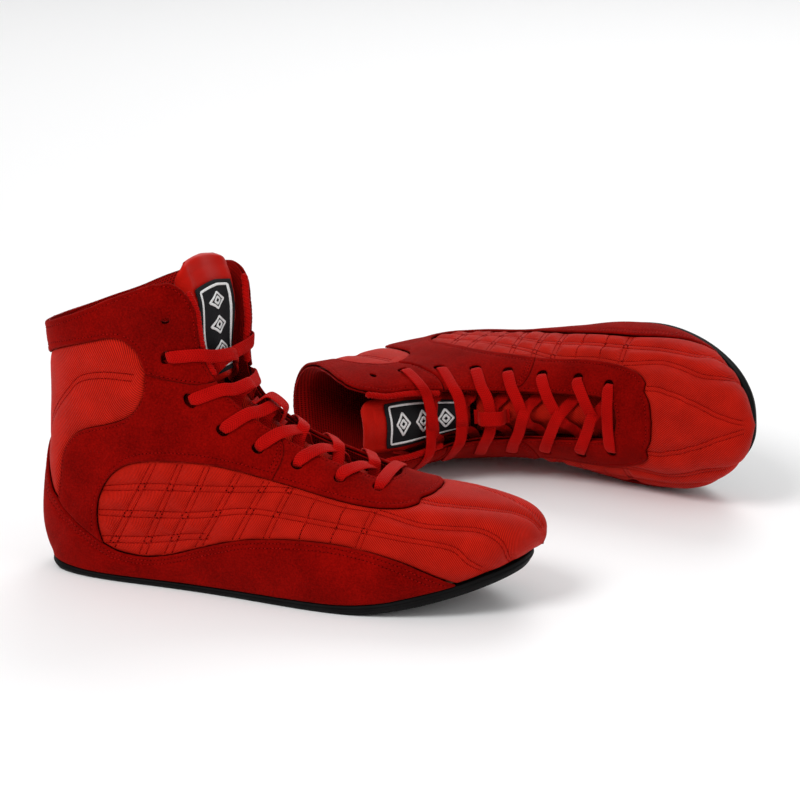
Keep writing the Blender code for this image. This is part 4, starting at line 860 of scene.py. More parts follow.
# ---------------------------------------------------------------- materials
class Nodes:
    """Short calls for building one material's node tree."""

    def __init__(self, name, roughness, **sockets):
        self.made = bpy.data.materials.new("fine_" + name)
        self.made.use_nodes = True
        self.tree = self.made.node_tree
        self.shader = self.tree.nodes["Principled BSDF"]
        self.shader.inputs["Roughness"].default_value = roughness
        for socket, value in sockets.items():
            self.shader.inputs[socket.replace("_", " ")].default_value = value

    def gloss(self, level, tint=(1.0, 0.12, 0.09, 1.0)):
        self.shader.inputs["Specular IOR Level"].default_value = level
        self.shader.inputs["Specular Tint"].default_value = tint

    def node(self, kind, inputs=(), **settings):
        made = self.tree.nodes.new(kind)
        for key, value in settings.items():
            setattr(made, key, value)
        for socket, value in dict(inputs).items():
            if isinstance(value, bpy.types.NodeSocket):
                self.tree.links.new(value, made.inputs[socket])
            else:
                made.inputs[socket].default_value = value
        return made

    def math(self, operation, a, b=0.0, c=0.0):
        return self.node("ShaderNodeMath", {0: a, 1: b, 2: c}, operation=operation).outputs[0]

    def noise(self, where, scale, detail=2.0, rough=0.5):
        inputs = {"Vector": where, "Scale": scale, "Detail": detail, "Roughness": rough}
        return self.node("ShaderNodeTexNoise", inputs).outputs["Fac"]

    def spread(self, value, low, high):
        inputs = {"Value": value, "From Min": low, "From Max": high}
        return self.node("ShaderNodeMapRange", inputs).outputs["Result"]

    def mix(self, share, a, b):
        made = self.node("ShaderNodeMix", (), data_type="RGBA")
        for socket, value in ((made.inputs["Factor"], share), (made.inputs[6], a), (made.inputs[7], b)):
            if isinstance(value, bpy.types.NodeSocket):
                self.tree.links.new(value, socket)
            else:
                socket.default_value = value
        return made.outputs[2]

    def colour(self, socket):
        self.tree.links.new(socket, self.shader.inputs["Base Color"])

    def weighed(self, a, share_a, b, share_b):
        return self.math("ADD", self.math("MULTIPLY", a, share_a), self.math("MULTIPLY", b, share_b))

    def mottled(self, value, dark, light, low=0.3, high=0.7):
        """Base colour from dark to light, as the value runs from low to high."""
        self.colour(self.mix(self.spread(value, low, high), dark, light))

    def bump(self, height, distance, strength=1.0, before=None):
        inputs = {"Height": height, "Distance": distance, "Strength": strength}
        if before is not None:
            inputs["Normal"] = before
        made = self.node("ShaderNodeBump", inputs).outputs["Normal"]
        self.tree.links.new(made, self.shader.inputs["Normal"])
        return made

    def flat(self):
        """The piece's flat pattern, in metres."""
        return self.node("ShaderNodeUVMap", (), uv_map="flat").outputs["UV"]

    def place(self):
        return self.node("ShaderNodeTexCoord").outputs["Object"]

    def split(self, vector):
        parts = self.node("ShaderNodeSeparateXYZ", {0: vector})
        return parts.outputs[0], parts.outputs[1]

    def ribs(self, x, y, pitch, turn):
        """A wave of that pitch in metres, its ribs turned in the flat pattern."""
        k = 2 * math.pi / pitch
        a = self.math("MULTIPLY", x, k * math.cos(turn))
        return self.math("SINE", self.math("ADD", a, self.math("MULTIPLY", y, k * math.sin(turn))))


def cached(make):
    kept = []

    def get():
        if not kept:
            kept.append(make())
        return kept[0]

    return get


def suede():
    """Brushed leather: cloudy nap, fine grain and specks."""
    n = Nodes("suede", 0.92, Sheen_Weight=0.2, Sheen_Roughness=0.45, Sheen_Tint=(1.0, 0.06, 0.04, 1.0))
    n.gloss(0.08)
    place = n.place()
    nap = n.noise(place, 42.0, 3.0, 0.6)
    grain = n.noise(place, 900.0, 4.0, 0.7)
    speck = n.noise(place, 2600.0, 2.0, 0.8)
    share = n.weighed(n.spread(nap, 0.3, 0.7), 0.45, n.spread(grain, 0.36, 0.64), 0.55)
    n.colour(n.mix(share, (0.085, 0.0004, 0.0003, 1.0), (0.255, 0.0022, 0.0012, 1.0)))
    first = n.bump(grain, 0.00035, 0.55)
    n.bump(speck, 0.00016, 0.5, first)
    return n.made


def twill_of(name, dark, light, roughness, sheen, pitch, depth):
    """Cloth with slanting ribs a pitch apart, and a fainter rib across them."""
    n = Nodes(name, roughness, Sheen_Weight=sheen, Sheen_Roughness=0.35, Sheen_Tint=(1.0, 0.1, 0.07, 1.0))
    n.gloss(0.2)
    x, y = n.split(n.flat())
    rib = n.ribs(x, y, pitch, math.radians(52))
    cross = n.ribs(x, y, pitch * 0.62, math.radians(-28))
    weave = n.math("ADD", n.math("MULTIPLY", rib, 0.42), n.math("MULTIPLY_ADD", cross, 0.08, 0.5))
    cloud = n.noise(n.place(), 60.0, 3.0, 0.55)
    n.colour(n.mix(n.weighed(weave, 0.8, n.spread(cloud, 0.3, 0.7), 0.2), dark, light))
    n.bump(weave, depth, 0.8)
    return n.made


def twill():
    dark, light = (0.11, 0.0012, 0.0006, 1.0), (0.66, 0.016, 0.0065, 1.0)
    return twill_of("twill", dark, light, 0.66, 0.12, 0.00105, 0.00034)


def satin():
    dark, light = (0.32, 0.004, 0.002, 1.0), (0.52, 0.010, 0.005, 1.0)
    return twill_of("satin", dark, light, 0.40, 0.15, 0.0006, 0.00008)


def weave():
    """The flat laces and webbing: a chevron of fine ribs, across the middle line."""
    n = Nodes("lace_weave", 0.72, Sheen_Weight=0.3, Sheen_Roughness=0.4, Sheen_Tint=(1.0, 0.08, 0.06, 1.0))
    n.gloss(0.12)
    x, y = n.split(n.flat())
    chevron = n.ribs(x, n.math("ABSOLUTE", y), 0.0012, math.radians(32))
    lengthwise = n.ribs(x, y, 0.0011, math.radians(90))
    height = n.math("ADD", n.math("MULTIPLY", chevron, 0.34), n.math("MULTIPLY_ADD", lengthwise, 0.16, 0.5))
    cloud = n.noise(n.place(), 90.0, 2.0, 0.5)
    share = n.weighed(height, 0.75, n.spread(cloud, 0.3, 0.7), 0.25)
    n.colour(n.mix(share, (0.22, 0.0010, 0.0008, 1.0), (0.47, 0.0045, 0.0035, 1.0)))
    n.bump(height, 0.0003, 0.8)
    return n.made


def thread():
    n = Nodes("thread", 0.7)
    n.gloss(0.12)
    cloud = n.noise(n.place(), 300.0, 2.0, 0.5)
    n.mottled(cloud, (0.16, 0.0013, 0.0011, 1.0), (0.34, 0.0042, 0.0032, 1.0))
    n.bump(n.noise(n.place(), 1800.0, 2.0, 0.6), 0.0002, 0.5)
    return n.made


def prick_shade():
    """Painted shade: a near-black colour for the plugs that stand for the shade inside the needle pricks
    between two stitches.
    """
    n = Nodes("prick_shade", 0.95)
    n.gloss(0.05)
    fibre = n.noise(n.place(), 2000.0, 2.0, 0.6)
    n.mottled(fibre, (0.012, 0.0003, 0.0002, 1.0), (0.05, 0.0006, 0.0005, 1.0))
    n.bump(fibre, 0.0001, 0.5)
    return n.made


def lining_mesh():
    """The open knitted mesh of the linings: small dark holes in a staggered grid."""
    n = Nodes("lining_mesh", 0.85)
    n.gloss(0.1)
    x, y = n.split(n.flat())
    grid = n.math("MULTIPLY", n.ribs(x, y, 0.0022, math.radians(45)), n.ribs(x, y, 0.0022, math.radians(-45)))
    holes = n.spread(grid, 0.1, 0.75)
    n.colour(n.mix(holes, (0.24, 0.003, 0.002, 1.0), (0.03, 0.0005, 0.0005, 1.0)))
    fibre = n.noise(n.place(), 1500.0, 3.0, 0.6)
    height = n.math("SUBTRACT", n.math("MULTIPLY", fibre, 0.3), holes)
    n.bump(height, 0.0004, 0.8)
    return n.made


def rubber():
    n = Nodes("sole_rubber", 0.62)
    n.gloss(0.08, (1.0, 1.0, 1.0, 1.0))
    place = n.place()
    dust = n.noise(place, 35.0, 4.0, 0.6)
    n.mottled(dust, (0.0022, 0.0021, 0.0022, 1.0), (0.0058, 0.0056, 0.0058, 1.0), 0.35, 0.75)
    grain = n.noise(place, 1400.0, 3.0, 0.65)
    n.bump(grain, 0.00022, 0.6)
    return n.made


def foam():
    n = Nodes("foam", 0.95)
    place = n.place()
    cells = n.node("ShaderNodeTexVoronoi", {"Vector": place, "Scale": 900.0}).outputs["Distance"]
    n.colour(n.mix(cells, (0.10, 0.09, 0.085, 1.0), (0.27, 0.25, 0.24, 1.0)))
    n.bump(cells, 0.0004, 0.6)
    return n.made


def fibre_board():
    n = Nodes("fibre_board", 0.85)
    fibres = n.noise(n.place(), 700.0, 5.0, 0.75)
    n.mottled(fibres, (0.30, 0.2, 0.11, 1.0), (0.52, 0.4, 0.26, 1.0))
    n.bump(fibres, 0.0003, 0.5)
    return n.made


def stiffener_board():
    """The heel's stiffener: the same board under a dyed cloth."""
    n = Nodes("stiffener_board", 0.9)
    n.gloss(0.1)
    fibres = n.noise(n.place(), 700.0, 5.0, 0.75)
    n.mottled(fibres, (0.06, 0.0012, 0.0008, 1.0), (0.14, 0.003, 0.002, 1.0))
    n.bump(fibres, 0.0003, 0.5)
    return n.made


def label_cloth():
    """Black woven cloth; its white border and diamonds are threads of their own."""
    n = Nodes("label_cloth", 0.85)
    n.gloss(0.1, (1.0, 1.0, 1.0, 1.0))
    x, y = n.split(n.flat())
    fine = n.math("MULTIPLY", n.ribs(x, y, 0.0007, 0.0), n.ribs(x, y, 0.0007, math.pi / 2))
    n.mottled(fine, (0.006, 0.006, 0.007, 1.0), (0.02, 0.02, 0.022, 1.0), -1.0, 1.0)
    n.bump(fine, 0.00012, 0.6)
    return n.made


def white_thread():
    n = Nodes("white_thread", 0.6)
    n.gloss(0.2, (1.0, 1.0, 1.0, 1.0))
    strands = n.noise(n.place(), 1600.0, 2.0, 0.6)
    n.mottled(strands, (0.55, 0.55, 0.55, 1.0), (0.85, 0.85, 0.84, 1.0))
    n.bump(strands, 0.0002, 0.5)
    return n.made


def aglet_plastic():
    n = Nodes("aglet_plastic", 0.22, Coat_Weight=0.4)
    haze = n.noise(n.place(), 400.0, 2.0, 0.5)
    n.mottled(haze, (0.26, 0.008, 0.008, 1.0), (0.42, 0.03, 0.03, 1.0))
    return n.made


MATERIALS = {
    make.__name__: cached(make)
    for make in (
        suede, twill, satin, weave, thread, prick_shade, lining_mesh, rubber, foam, fibre_board,
        stiffener_board, label_cloth, white_thread, aglet_plastic,
    )
}
SUEDE = ("suede", "suede")
TWILL = ("twill", "twill")
SATIN = ("satin", "twill")
WEBBING = ("weave", "lace_weave")
THREAD = ("thread", "lace_weave")
# the dark plugs between stitches: painted shade for the needle pricks
PRICK_SHADE = ("prick_shade", "lace_weave")
MESH = ("lining_mesh", "lining_mesh")
RUBBER = ("rubber", "sole_rubber")
FOAM_GREY = ("foam", "foam")
LABEL = ("label_cloth", "label_cloth")
WHITE = ("white_thread", "label_cloth")
CLEAR_TIP = ("aglet_plastic", "aglet_plastic")

# ---------------------------------------------------------------- seams, quilting and stitch rows
TOE_END = [from_side(*np.array(RAND_TOP[-1:]).T, side)[0][0] for side in (-1, 1)]
EYESTAY_TIP = [(78.0, 19.0), (73.5, 11.0), (72.0, 0.0)]
QUILT_ROWS = [
    [(40, 56.5), (47, 57), (77, 61), (107, 63), (136, 65), (160, 66), (190, 61), (208, 59), (234, 54),
     (250, 53), (267, 52), (277, 48), (282, 42), (284, 31)],
    [(40, 41.5), (44, 42), (100, 47), (133, 53), (156, 53), (196, 50), (224, 47), (245, 45), (257, 42),
     (264, 35), (271, 29)],
    [(42, 24.5), (48, 26), (74, 29), (99, 34), (112, 36)],
]
TOE_ROW = [(80.0, 21.0), (66.0, 20.0), (50.0, 16.0), (34.0, 10.0), (20.0, 5.0), (9.0, 2.6)]
# Rows across the boot: their sections at the eyestay and at the sole.
QUILT_SECTIONS = [(14.2, 14.35), (13.25, 13.5), (12.11, 12.95), (10.96, 12.38), (10.17, 11.59),
                  (9.56, 10.76), (7.4, 8.0)]
FAINT_SECTIONS = [(8.9, 9.7), (8.1, 8.8)]
DOUBLE = 1.45  # half the distance between the two threads of a double row
DOUBLE_OFFSETS = (-2.6, -2.0, -DOUBLE, -0.75, 0.0, 0.75, DOUBLE, 2.0, 2.6)  # mesh rows along a double row
QUILT_STEP = 0.6
CHANNEL_HALF, SHOULDER = 0.75, 2.0  # how fast a sewn row's narrow groove and its wide dip fade, mm
ANKLE_ROW = [(70, 123), (52, 123), (36, 119), (26, 110), (15, 98), (9, 88), (6.5, 78)]


def toe_end(side):
    """The section where the rand's top reaches the sole."""
    return TOE_END[side > 0]


def section_seam(low_u, high_u, side):
    """A quilting row across the boot, from the sole's edge up to the eyestay."""
    m = np.linspace(0.995, 0.2, 120)
    u = np.interp(m, [0.2, 0.995], [low_u, high_u])
    return OVER[0](*spaced(u, side * m, QUILT_STEP))


def quilt_lines():
    rows, faint = [], []
    for side in SIDES:
        rows += [side_line(OVER, line, side, QUILT_STEP) for line in QUILT_ROWS]
        rows += [section_seam(low, high, side) for low, high in QUILT_SECTIONS]
        rows.append(throat_line(OVER, TOE_ROW, side, QUILT_STEP))
        faint += [section_seam(low, high, side) for low, high in FAINT_SECTIONS]
    return rows, faint


def band(lines, offsets):
    return np.vstack([shifted(line, d) for line in lines for d in offsets])


def doubled(lines):
    """The two threads of each double row."""
    return [shifted(line, d) for line in lines for d in (-DOUBLE, DOUBLE)]


def clipped(loop, lines, margin):
    """The parts of open lines that lie inside a loop, clear of its edge."""
    tree = tree_of(rim_points(loop))
    out = []
    for line in lines:
        out += runs(line, inside(line, loop) & (distances(tree, line) > margin))
    return out


def rounded_edge(distance, reach, drop):
    """How far a cut edge curls down: drop at the edge, nothing past the reach."""
    t = 1 - np.clip(distance / reach, 0, 1)
    return -drop * (1 - np.sqrt(1 - t**2))


def suede_relief(loop, holes, rows, height, drop=1.5, soft=0.25):
    rim = tree_of(rim_points(loop))
    ring = tree_of(np.vstack(holes)) if len(holes) else None
    seam = tree_of(np.vstack([dense(r) for r in rows])) if rows else None

    def relief(flat):
        lift = height + rounded_edge(distances(rim, flat), 1.7, drop) + waves(flat, soft)
        if ring is not None:
            lift = lift + rounded_edge(distances(ring, flat), 1.0, 0.45)
        if seam is not None:
            away = distances(seam, flat)
            groove, dip = (np.exp(-((away / width) ** 2)) for width in (CHANNEL_HALF, SHOULDER))
            lift = lift - 0.34 * groove - 0.1 * dip
        return lift

    return relief


def quilt_relief(loop, rows, faint):
    rim = tree_of(rim_points(loop))
    double = tree_of(np.vstack([dense(r) for r in rows]))
    single = tree_of(np.vstack([dense(r) for r in faint]))

    def relief(flat):
        away = distances(double, flat)
        clear = np.clip(away - DOUBLE, 0, None)
        faint_clear = distances(single, flat)
        pillow = 2.7 * (1 - np.exp(-clear / 2.9)) - 0.6 * np.exp(-((faint_clear / 1.2) ** 2))
        between = 0.55 * np.clip(1 - (away / DOUBLE) ** 2, 0, 1)
        edge = 1 - np.exp(-distances(rim, flat) / 2.6)
        return -1.45 + (pillow + between) * edge + waves(flat, 0.12)

    return relief


# ---------------------------------------------------------------- the upper
def vamp_half(side):
    return [
        section_line(OVER, 0.0, 0.0, float(side))[:-1],
        edge_line(OVER, 0.0, toe_end(side), side)[:-1],
        side_line(OVER, RAND_TOP, side)[::-1][:-1],
        side_line(OVER, QUILT_BACK, side)[:-1],
        side_line(OVER, EYESTAY_LOW, side)[:-1],
        throat_line(OVER, EYESTAY_TIP, side),
    ]


def vamp(boot):
    """The quilted twill over the toes and along both sides; it meets the suede round it at their seams."""
    loop = mirrored(vamp_half)
    rows, faint = quilt_lines()
    relief = quilt_relief(loop, rows, faint)
    extra = np.vstack([band(rows, DOUBLE_OFFSETS), band(faint, (-1.0, 0.0, 1.0))])
    panel(boot, "vamp", OVER, loop, TWILL, relief, 1.2, 2.0, (), extra)
    stitch(boot, OVER, clipped(loop, doubled(rows) + faint, 0.8), relief, 0.2)


def eyestay(boot):
    """The U-shaped lace stay round the foot of the throat."""

    def half(side):
        seam = side_line(OVER, EYESTAY_SEAM, side)
        slot = throat_line(OVER, throat_run(THROAT_FOOT, STAY_END), side)
        top = (seam[-1] + slot[-1]) / 2
        return [
            throat_line(OVER, EYESTAY_TIP, side)[::-1],
            side_line(OVER, EYESTAY_LOW, side)[::-1][1:-1],
            seam[:-1],
            top[None],
            slot[:-1][::-1],
        ]

    loop = mirrored(half)
    holes = [hole_ring(OVER, c, s * q, HOLE) for c, q in HOLES[:3] for s in SIDES]
    edges = []
    for side in SIDES:
        low = np.vstack([side_line(OVER, EYESTAY_LOW, side), throat_line(OVER, EYESTAY_TIP, side)[1:]])
        slot = throat_line(OVER, throat_run(THROAT_FOOT, STAY_END), side)
        edges += rows_inside(loop, low, 2.9) + rows_inside(loop, slot, 2.2)
    leather_panel(boot, "eyestay", OVER, loop, holes, edges, 0.75)


def leather_panel(boot, name, pattern, loop, holes, rows, height, drop=1.5):
    relief = suede_relief(loop, holes, rows, height, drop)
    extra = [shifted(r, d) for r in rows for d in (-0.7, 0.0, 0.7)]
    for hole in holes:
        middle = hole.mean(0)
        extra += [middle + (hole - middle) * k for k in (1.15, 1.35)]
    panel(boot, name, pattern, loop, SUEDE, relief, 1.3, STEP, holes, np.vstack(extra))
    stitch(boot, pattern, rows, relief)


def quarter(boot, side, name):
    """The suede side panel from the collar down to the quilting."""
    lines = dict(
        ankle=side_line(OVER, ANKLE_EDGE, side)[::-1],
        front=side_line(OVER, COLLAR_FRONT, side),
        slot=throat_line(OVER, throat_run(STAY_END, FLAP_FOOT)[::-1], side),
        seam=side_line(OVER, EYESTAY_SEAM, side)[::-1],
        quilt=side_line(OVER, QUILT_BACK, side)[::-1],
        rand=side_line(OVER, RAND_BACK, side)[::-1],
    )
    loop = joined(*lines.values())
    holes = [hole_ring(OVER, c, side * q, HOLE) for c, q in HOLES[3:6]]
    rows = []
    for line, offset in (("ankle", 2.0), ("quilt", 4.0), ("seam", 2.0), ("seam", 4.3), ("slot", 2.2)):
        rows += rows_inside(loop, lines[line], offset)
    leather_panel(boot, name, OVER, loop, holes, rows, 1.0)


def collar(boot, side, name):
    """One flap of the collar, from the back seam to the throat."""
    ends = np.array([COLLAR_LOW[0], COLLAR_TOP[0]])
    back_low, back_top = from_side(ends[:, 0], ends[:, 1], side)[0]
    lines = dict(
        back=edge_line(OVER, back_low, back_top, side),
        top=side_line(OVER, COLLAR_TOP, side),
        flap=throat_line(OVER, (throat_run(FLAP_FOOT, FLAP_TURN) + FLAP_TIP)[::-1], side),
        front=side_line(OVER, COLLAR_FRONT, side)[::-1],
        low=side_line(OVER, COLLAR_LOW, side)[::-1],
    )
    loop = joined(*lines.values())
    holes = [hole_ring(OVER, c, side * q, r) for (c, q), r in zip(HOLES[6:], (HOLE, SPARE_HOLE))]
    rows = []
    for line, offset in (("low", 3.4), ("top", 3.2), ("flap", 2.4), ("front", 1.6), ("back", 2.2)):
        rows += rows_inside(loop, lines[line], offset)
    leather_panel(boot, name, OVER, loop, holes, rows, 0.8)


def ankle_panel(boot):
    """The padded twill behind the ankle, one piece round the back, tapering down to the heel."""

    def half(side):
        lines = [side_line(ROUND, line, side) for line in (COLLAR_LOW, ANKLE_EDGE)]
        return [lines[0][:-1], lines[1][:-1], side_line(ROUND, HEEL_TOP, side)[::-1]]

    loop = mirrored(half)
    row = [side_line(ROUND, ANKLE_ROW, side, QUILT_STEP) for side in SIDES]
    rim, seam = tree_of(rim_points(loop)), tree_of(np.vstack([dense(r) for r in row]))

    def relief(flat):
        away = distances(seam, flat)
        pillow = 1.0 - 0.75 * np.exp(-np.clip(away - DOUBLE, 0, None) / 2.8)
        between = 0.3 * np.clip(1 - (away / DOUBLE) ** 2, 0, 1)
        edge = 1 - np.exp(-distances(rim, flat) / 3.0)
        return -1.3 + (1.9 * pillow + between) * edge + waves(flat, 0.2)

    extra = band(row, DOUBLE_OFFSETS)
    panel(boot, "ankle_panel", ROUND, loop, TWILL, relief, 1.2, 2.2, (), extra)
    stitch(boot, ROUND, clipped(loop, doubled(row), 0.8), relief, 0.2)


def rand(boot):
    """The suede wall round the heel and along both sides to the ball."""

    def tops(side):
        return [side_line(ROUND, line, side)[:-1] for line in (HEEL_TOP, RAND_BACK, RAND_TOP)]

    def half(side):
        return tops(side) + [edge_line(ROUND, toe_end(side), HEEL, side)]

    loop = mirrored(half)
    rows = []
    for side in SIDES:
        top = np.vstack(tops(side))
        rows += rows_inside(loop, top, 2.1) + rows_inside(loop, top, 4.7)
    leather_panel(boot, "rand", ROUND, loop, [], rows, 1.05)


# ---------------------------------------------------------------- linings and padding
LINING_SEAM = 160.0  # where the two linings meet, along the crest from the toe tip
LINING_HOLE = 4.1
LINING_DEPTH = 5.5


def lining_relief(shut):
    """The lining lies deep under the upper and comes up to it along the given edges."""
    tree = tree_of(np.vstack([dense(line) for line in shut]))

    def relief(flat):
        return -LINING_DEPTH + 3.5 * (1 - ramp(distances(tree, flat), 0.5, 7.0)) + waves(flat, 0.15)

    return relief


def lining_seam(pattern, side):
    """The lining's seam, from the throat down to the sole, and its section."""
    u, m = from_throat(np.array([LINING_SEAM]), np.array([side * throat_edge_at(LINING_SEAM)]))
    return section_line(pattern, u[0], m[0], float(side)), u[0]


def vamp_lining(boot):
    def half(side):
        seam, end = lining_seam(OVER, side)
        return [
            section_line(OVER, 0.0, 0.0, float(side))[:-1],
            edge_line(OVER, 0.0, toe_end(side), side)[:-1],
            edge_line(OVER, toe_end(side), end, side)[:-1],
            seam[::-1][:-1],
            throat_line(OVER, throat_run(THROAT_FOOT, LINING_SEAM), side)[::-1],
        ]

    loop = mirrored(half)
    holes = [hole_ring(OVER, c, s * q, LINING_HOLE) for c, q in HOLES[:3] for s in SIDES]
    shut = [throat_line(OVER, throat_run(THROAT_FOOT, LINING_SEAM), side) for side in SIDES]
    panel(boot, "vamp_lining", OVER, loop, MESH, lining_relief(shut), 0.8, LINING_STEP, holes)


def quarter_lining(boot):
    def front(side):
        return throat_line(ROUND, throat_run(LINING_SEAM, FLAP_TURN) + FLAP_TIP, side)

    def half(side):
        seam, end = lining_seam(ROUND, side)
        return [
            side_line(ROUND, COLLAR_TOP, side)[:-1],
            front(side)[::-1][:-1],
            seam[:-1],
            edge_line(ROUND, end, HEEL, side),
        ]

    loop = mirrored(half)
    holes = [hole_ring(ROUND, c, s * q, LINING_HOLE) for c, q in HOLES[3:] for s in SIDES]
    shut = [front(side) for side in SIDES] + [side_line(ROUND, COLLAR_TOP, side) for side in SIDES]
    relief = lining_relief(shut)
    panel(boot, "quarter_lining", ROUND, loop, MESH, relief, 0.8, LINING_STEP, holes)


def collar_foam(boot):
    """The padding round the back of the collar."""

    def half(side):
        lines = [side_line(ROUND, line, side, 2.0) for line in (FOAM_TOP, FOAM_FRONT, FOAM_LOW)]
        return [lines[0][:-1], lines[1][:-1], lines[2]]

    loop = mirrored(half)
    rim = tree_of(rim_points(loop))

    def relief(flat):
        return -2.9 + rounded_edge(distances(rim, flat), 3.0, 0.5)

    panel(boot, "collar_foam", ROUND, loop, FOAM_GREY, relief, 1.6, 3.0)


# ---------------------------------------------------------------- the sole
SOLE_GAP = 0.5
TOE_SPRING = 28.0
BALL_X = 195.0
TREAD_X = 101.0
BOARD, FOOTBED = 2.0, 4.0
SOLE_EDGE, BED_INSET = 0.6, 7.9  # the rubber's reach past the upper's edge, and the footbed's inset
WALL_SHARES = (0.06, 0.16, 0.26, 0.32, 0.38, 0.5, 0.7, 0.85, 0.95)  # the wall's rings, from its top
GROOVE_SHARE, GROOVE_DEPTH = 0.32, 0.55
TREAD_PITCH, TREAD_DEPTH = 8.5, 1.3


def sole_bottom(x):
    rise = TOE_SPRING * (np.clip(x - BALL_X, 0, None) / TREAD_X) ** 1.53
    return rise + 2.5 * ramp(12.0 - x, 0.0, 14.0)


def edge_height(x):
    """Height of the edge where the upper meets the sole, above x."""
    u = np.linspace(0, HEEL - 0.4, 300)
    k = section_at(u)
    order = np.argsort(k[:, 0])
    return np.interp(x, k[order, 0], k[order, 1])


def sole_loop(grow, step=1.6):
    u = np.linspace(0.0, HEEL, 220)
    k = section_at(u)
    outer = np.stack([k[:, 0], k[:, 4].clip(0)], -1)
    inner = np.stack([k[:, 0], -k[:, 5].clip(0)], -1)
    half = [smooth_line(line, step) for line in (outer, inner)]
    loop = np.vstack([half[0], half[1][::-1][1:-1]])
    size = 6
    wrapped = np.vstack([loop[-size:], loop, loop[:size]])
    soft = np.stack([np.convolve(wrapped[:, j], np.ones(5) / 5, "same") for j in (0, 1)], -1)[size:-size]
    loop = inset_all(soft, -grow)
    return loop if area_of(loop) > 0 else loop[::-1]


def inset_all(loop, distance):
    """The loop drawn in by a distance along its whole edge."""
    sign = 1 if area_of(loop) > 0 else -1
    run = unit(np.roll(loop, -2, axis=0) - np.roll(loop, 2, axis=0))
    return loop + distance * sign * np.stack([-run[:, 1], run[:, 0]], -1)


def raised(flat, z):
    """Flat points at some heights."""
    return np.column_stack([flat, z])


def tread(flat, loop):
    """Depth of the tread: a herringbone of grooves inside a plain margin."""
    x, a = flat[:, 0], flat[:, 1]
    wave = np.sin(2 * np.pi * (x + 0.55 * np.abs(((a + 60) % 24) - 12)) / TREAD_PITCH)
    margin = ramp(distances(tree_of(loop), flat), 4.0, 5.2)
    return TREAD_DEPTH * ramp(wave, 0.35, 0.75) * margin


def closed_slab(boot, name, rings, top, bottom, spec):
    """A layer between a top and a bottom mesh, with a wall of rings between their rims.

    rings: loops of 3-D points from the top's rim to the bottom's; top and bottom are (points, faces),
    whose first points are their rims.
    """
    count = len(rings[0])
    points, faces = [top[0]], [np.array(top[1])]
    first = len(top[0])
    layers = [np.arange(count)]
    for ring in rings[1:-1]:
        points.append(ring)
        layers.append(first + np.arange(count))
        first += count
    points.append(bottom[0])
    layers.append(first + np.arange(count))
    for a, b in zip(layers, layers[1:]):
        a2, b2 = np.roll(a, -1), np.roll(b, -1)
        faces += [np.stack([a, b, b2], -1), np.stack([a, b2, a2], -1)]
    faces.append(first + np.array(bottom[1])[:, ::-1])
    points, faces = np.vstack(points), np.vstack(faces)
    start, end = len(top[1]), len(faces) - len(bottom[1])
    wall = faces[start:start + count]
    out = points[wall].mean(1) - points.mean(0)
    turned = np.cross(points[wall[:, 1]] - points[wall[:, 0]], points[wall[:, 2]] - points[wall[:, 0]])
    if (turned[:, :2] * out[:, :2]).sum() < 0:
        faces[start:end] = faces[start:end, ::-1]
    return add_piece(boot, name, points, faces, spec, [name], uv=points[:, :2])


SLABS = {}


def sole_layers(boot):
    """The outsole, with its grooved wall and tread, and the footbed."""
    if not SLABS:
        rim = sole_loop(SOLE_EDGE)
        SLABS["outsole_top"] = fill(rim, [], 6.0, np.zeros((0, 2)))
        low = inset_all(rim, 1.4)
        more = np.vstack([inset_all(low, d) for d in (0.8, 2.2, 4.0, 5.2)])
        SLABS["outsole_low"] = fill(low, [], 1.15, more)
        SLABS["rim"] = rim
        bed = sole_loop(-BED_INSET, 2.0)
        SLABS["bed"] = bed
        SLABS["bed_top"] = fill(inset_all(bed, 1.2), [], 2.4, inset_all(bed, 2.4))
        SLABS["bed_low"] = fill(bed, [], 8.0, np.zeros((0, 2)))
    rim = SLABS["rim"]
    flat, faces = SLABS["outsole_top"]
    top = raised(flat, edge_height(flat[:, 0]) - SOLE_GAP)
    low_flat, low_faces = SLABS["outsole_low"]
    lift = tread(low_flat, low_flat[:len(rim)])
    bottom = raised(low_flat, sole_bottom(low_flat[:, 0]) + lift)
    rings = [top[:len(rim)]]
    high_z, low_z = edge_height(rim[:, 0]) - SOLE_GAP, sole_bottom(rim[:, 0])
    for share in WALL_SHARES:
        bulge = 0.7 * math.sin(math.pi * min(1.0, share * 1.1)) - 1.4 * share**3
        groove = GROOVE_DEPTH if share == GROOVE_SHARE else 0.0
        rings.append(raised(inset_all(rim, -bulge + groove), high_z * (1 - share) + low_z * share))
    rings.append(bottom[:len(rim)])
    closed_slab(boot, "outsole", rings, (top, faces), (bottom, low_faces), RUBBER)
    bed = SLABS["bed"]
    base = BOARD + SOLE_GAP
    flat, faces = SLABS["bed_top"]
    edge = distances(tree_of(dense(np.vstack([bed, bed[:1]]))), flat)
    crown = 0.5 * ramp(edge, 1.0, 9.0) - 0.5 + waves(flat, 0.12)
    top = raised(flat, edge_height(flat[:, 0]) + base + FOOTBED + crown)
    low_flat, low_faces = SLABS["bed_low"]
    bottom = raised(low_flat, edge_height(low_flat[:, 0]) + base)
    middle_z = edge_height(bed[:, 0]) + base
    rings = [top[:len(bed)]]
    for grow, share in ((0.45, 0.8), (0.0, 0.5)):
        rings.append(raised(inset_all(bed, grow), middle_z + share * FOOTBED))
    rings.append(bottom[:len(bed)])
    closed_slab(boot, "footbed", rings, (top, faces), (bottom, low_faces), MESH)


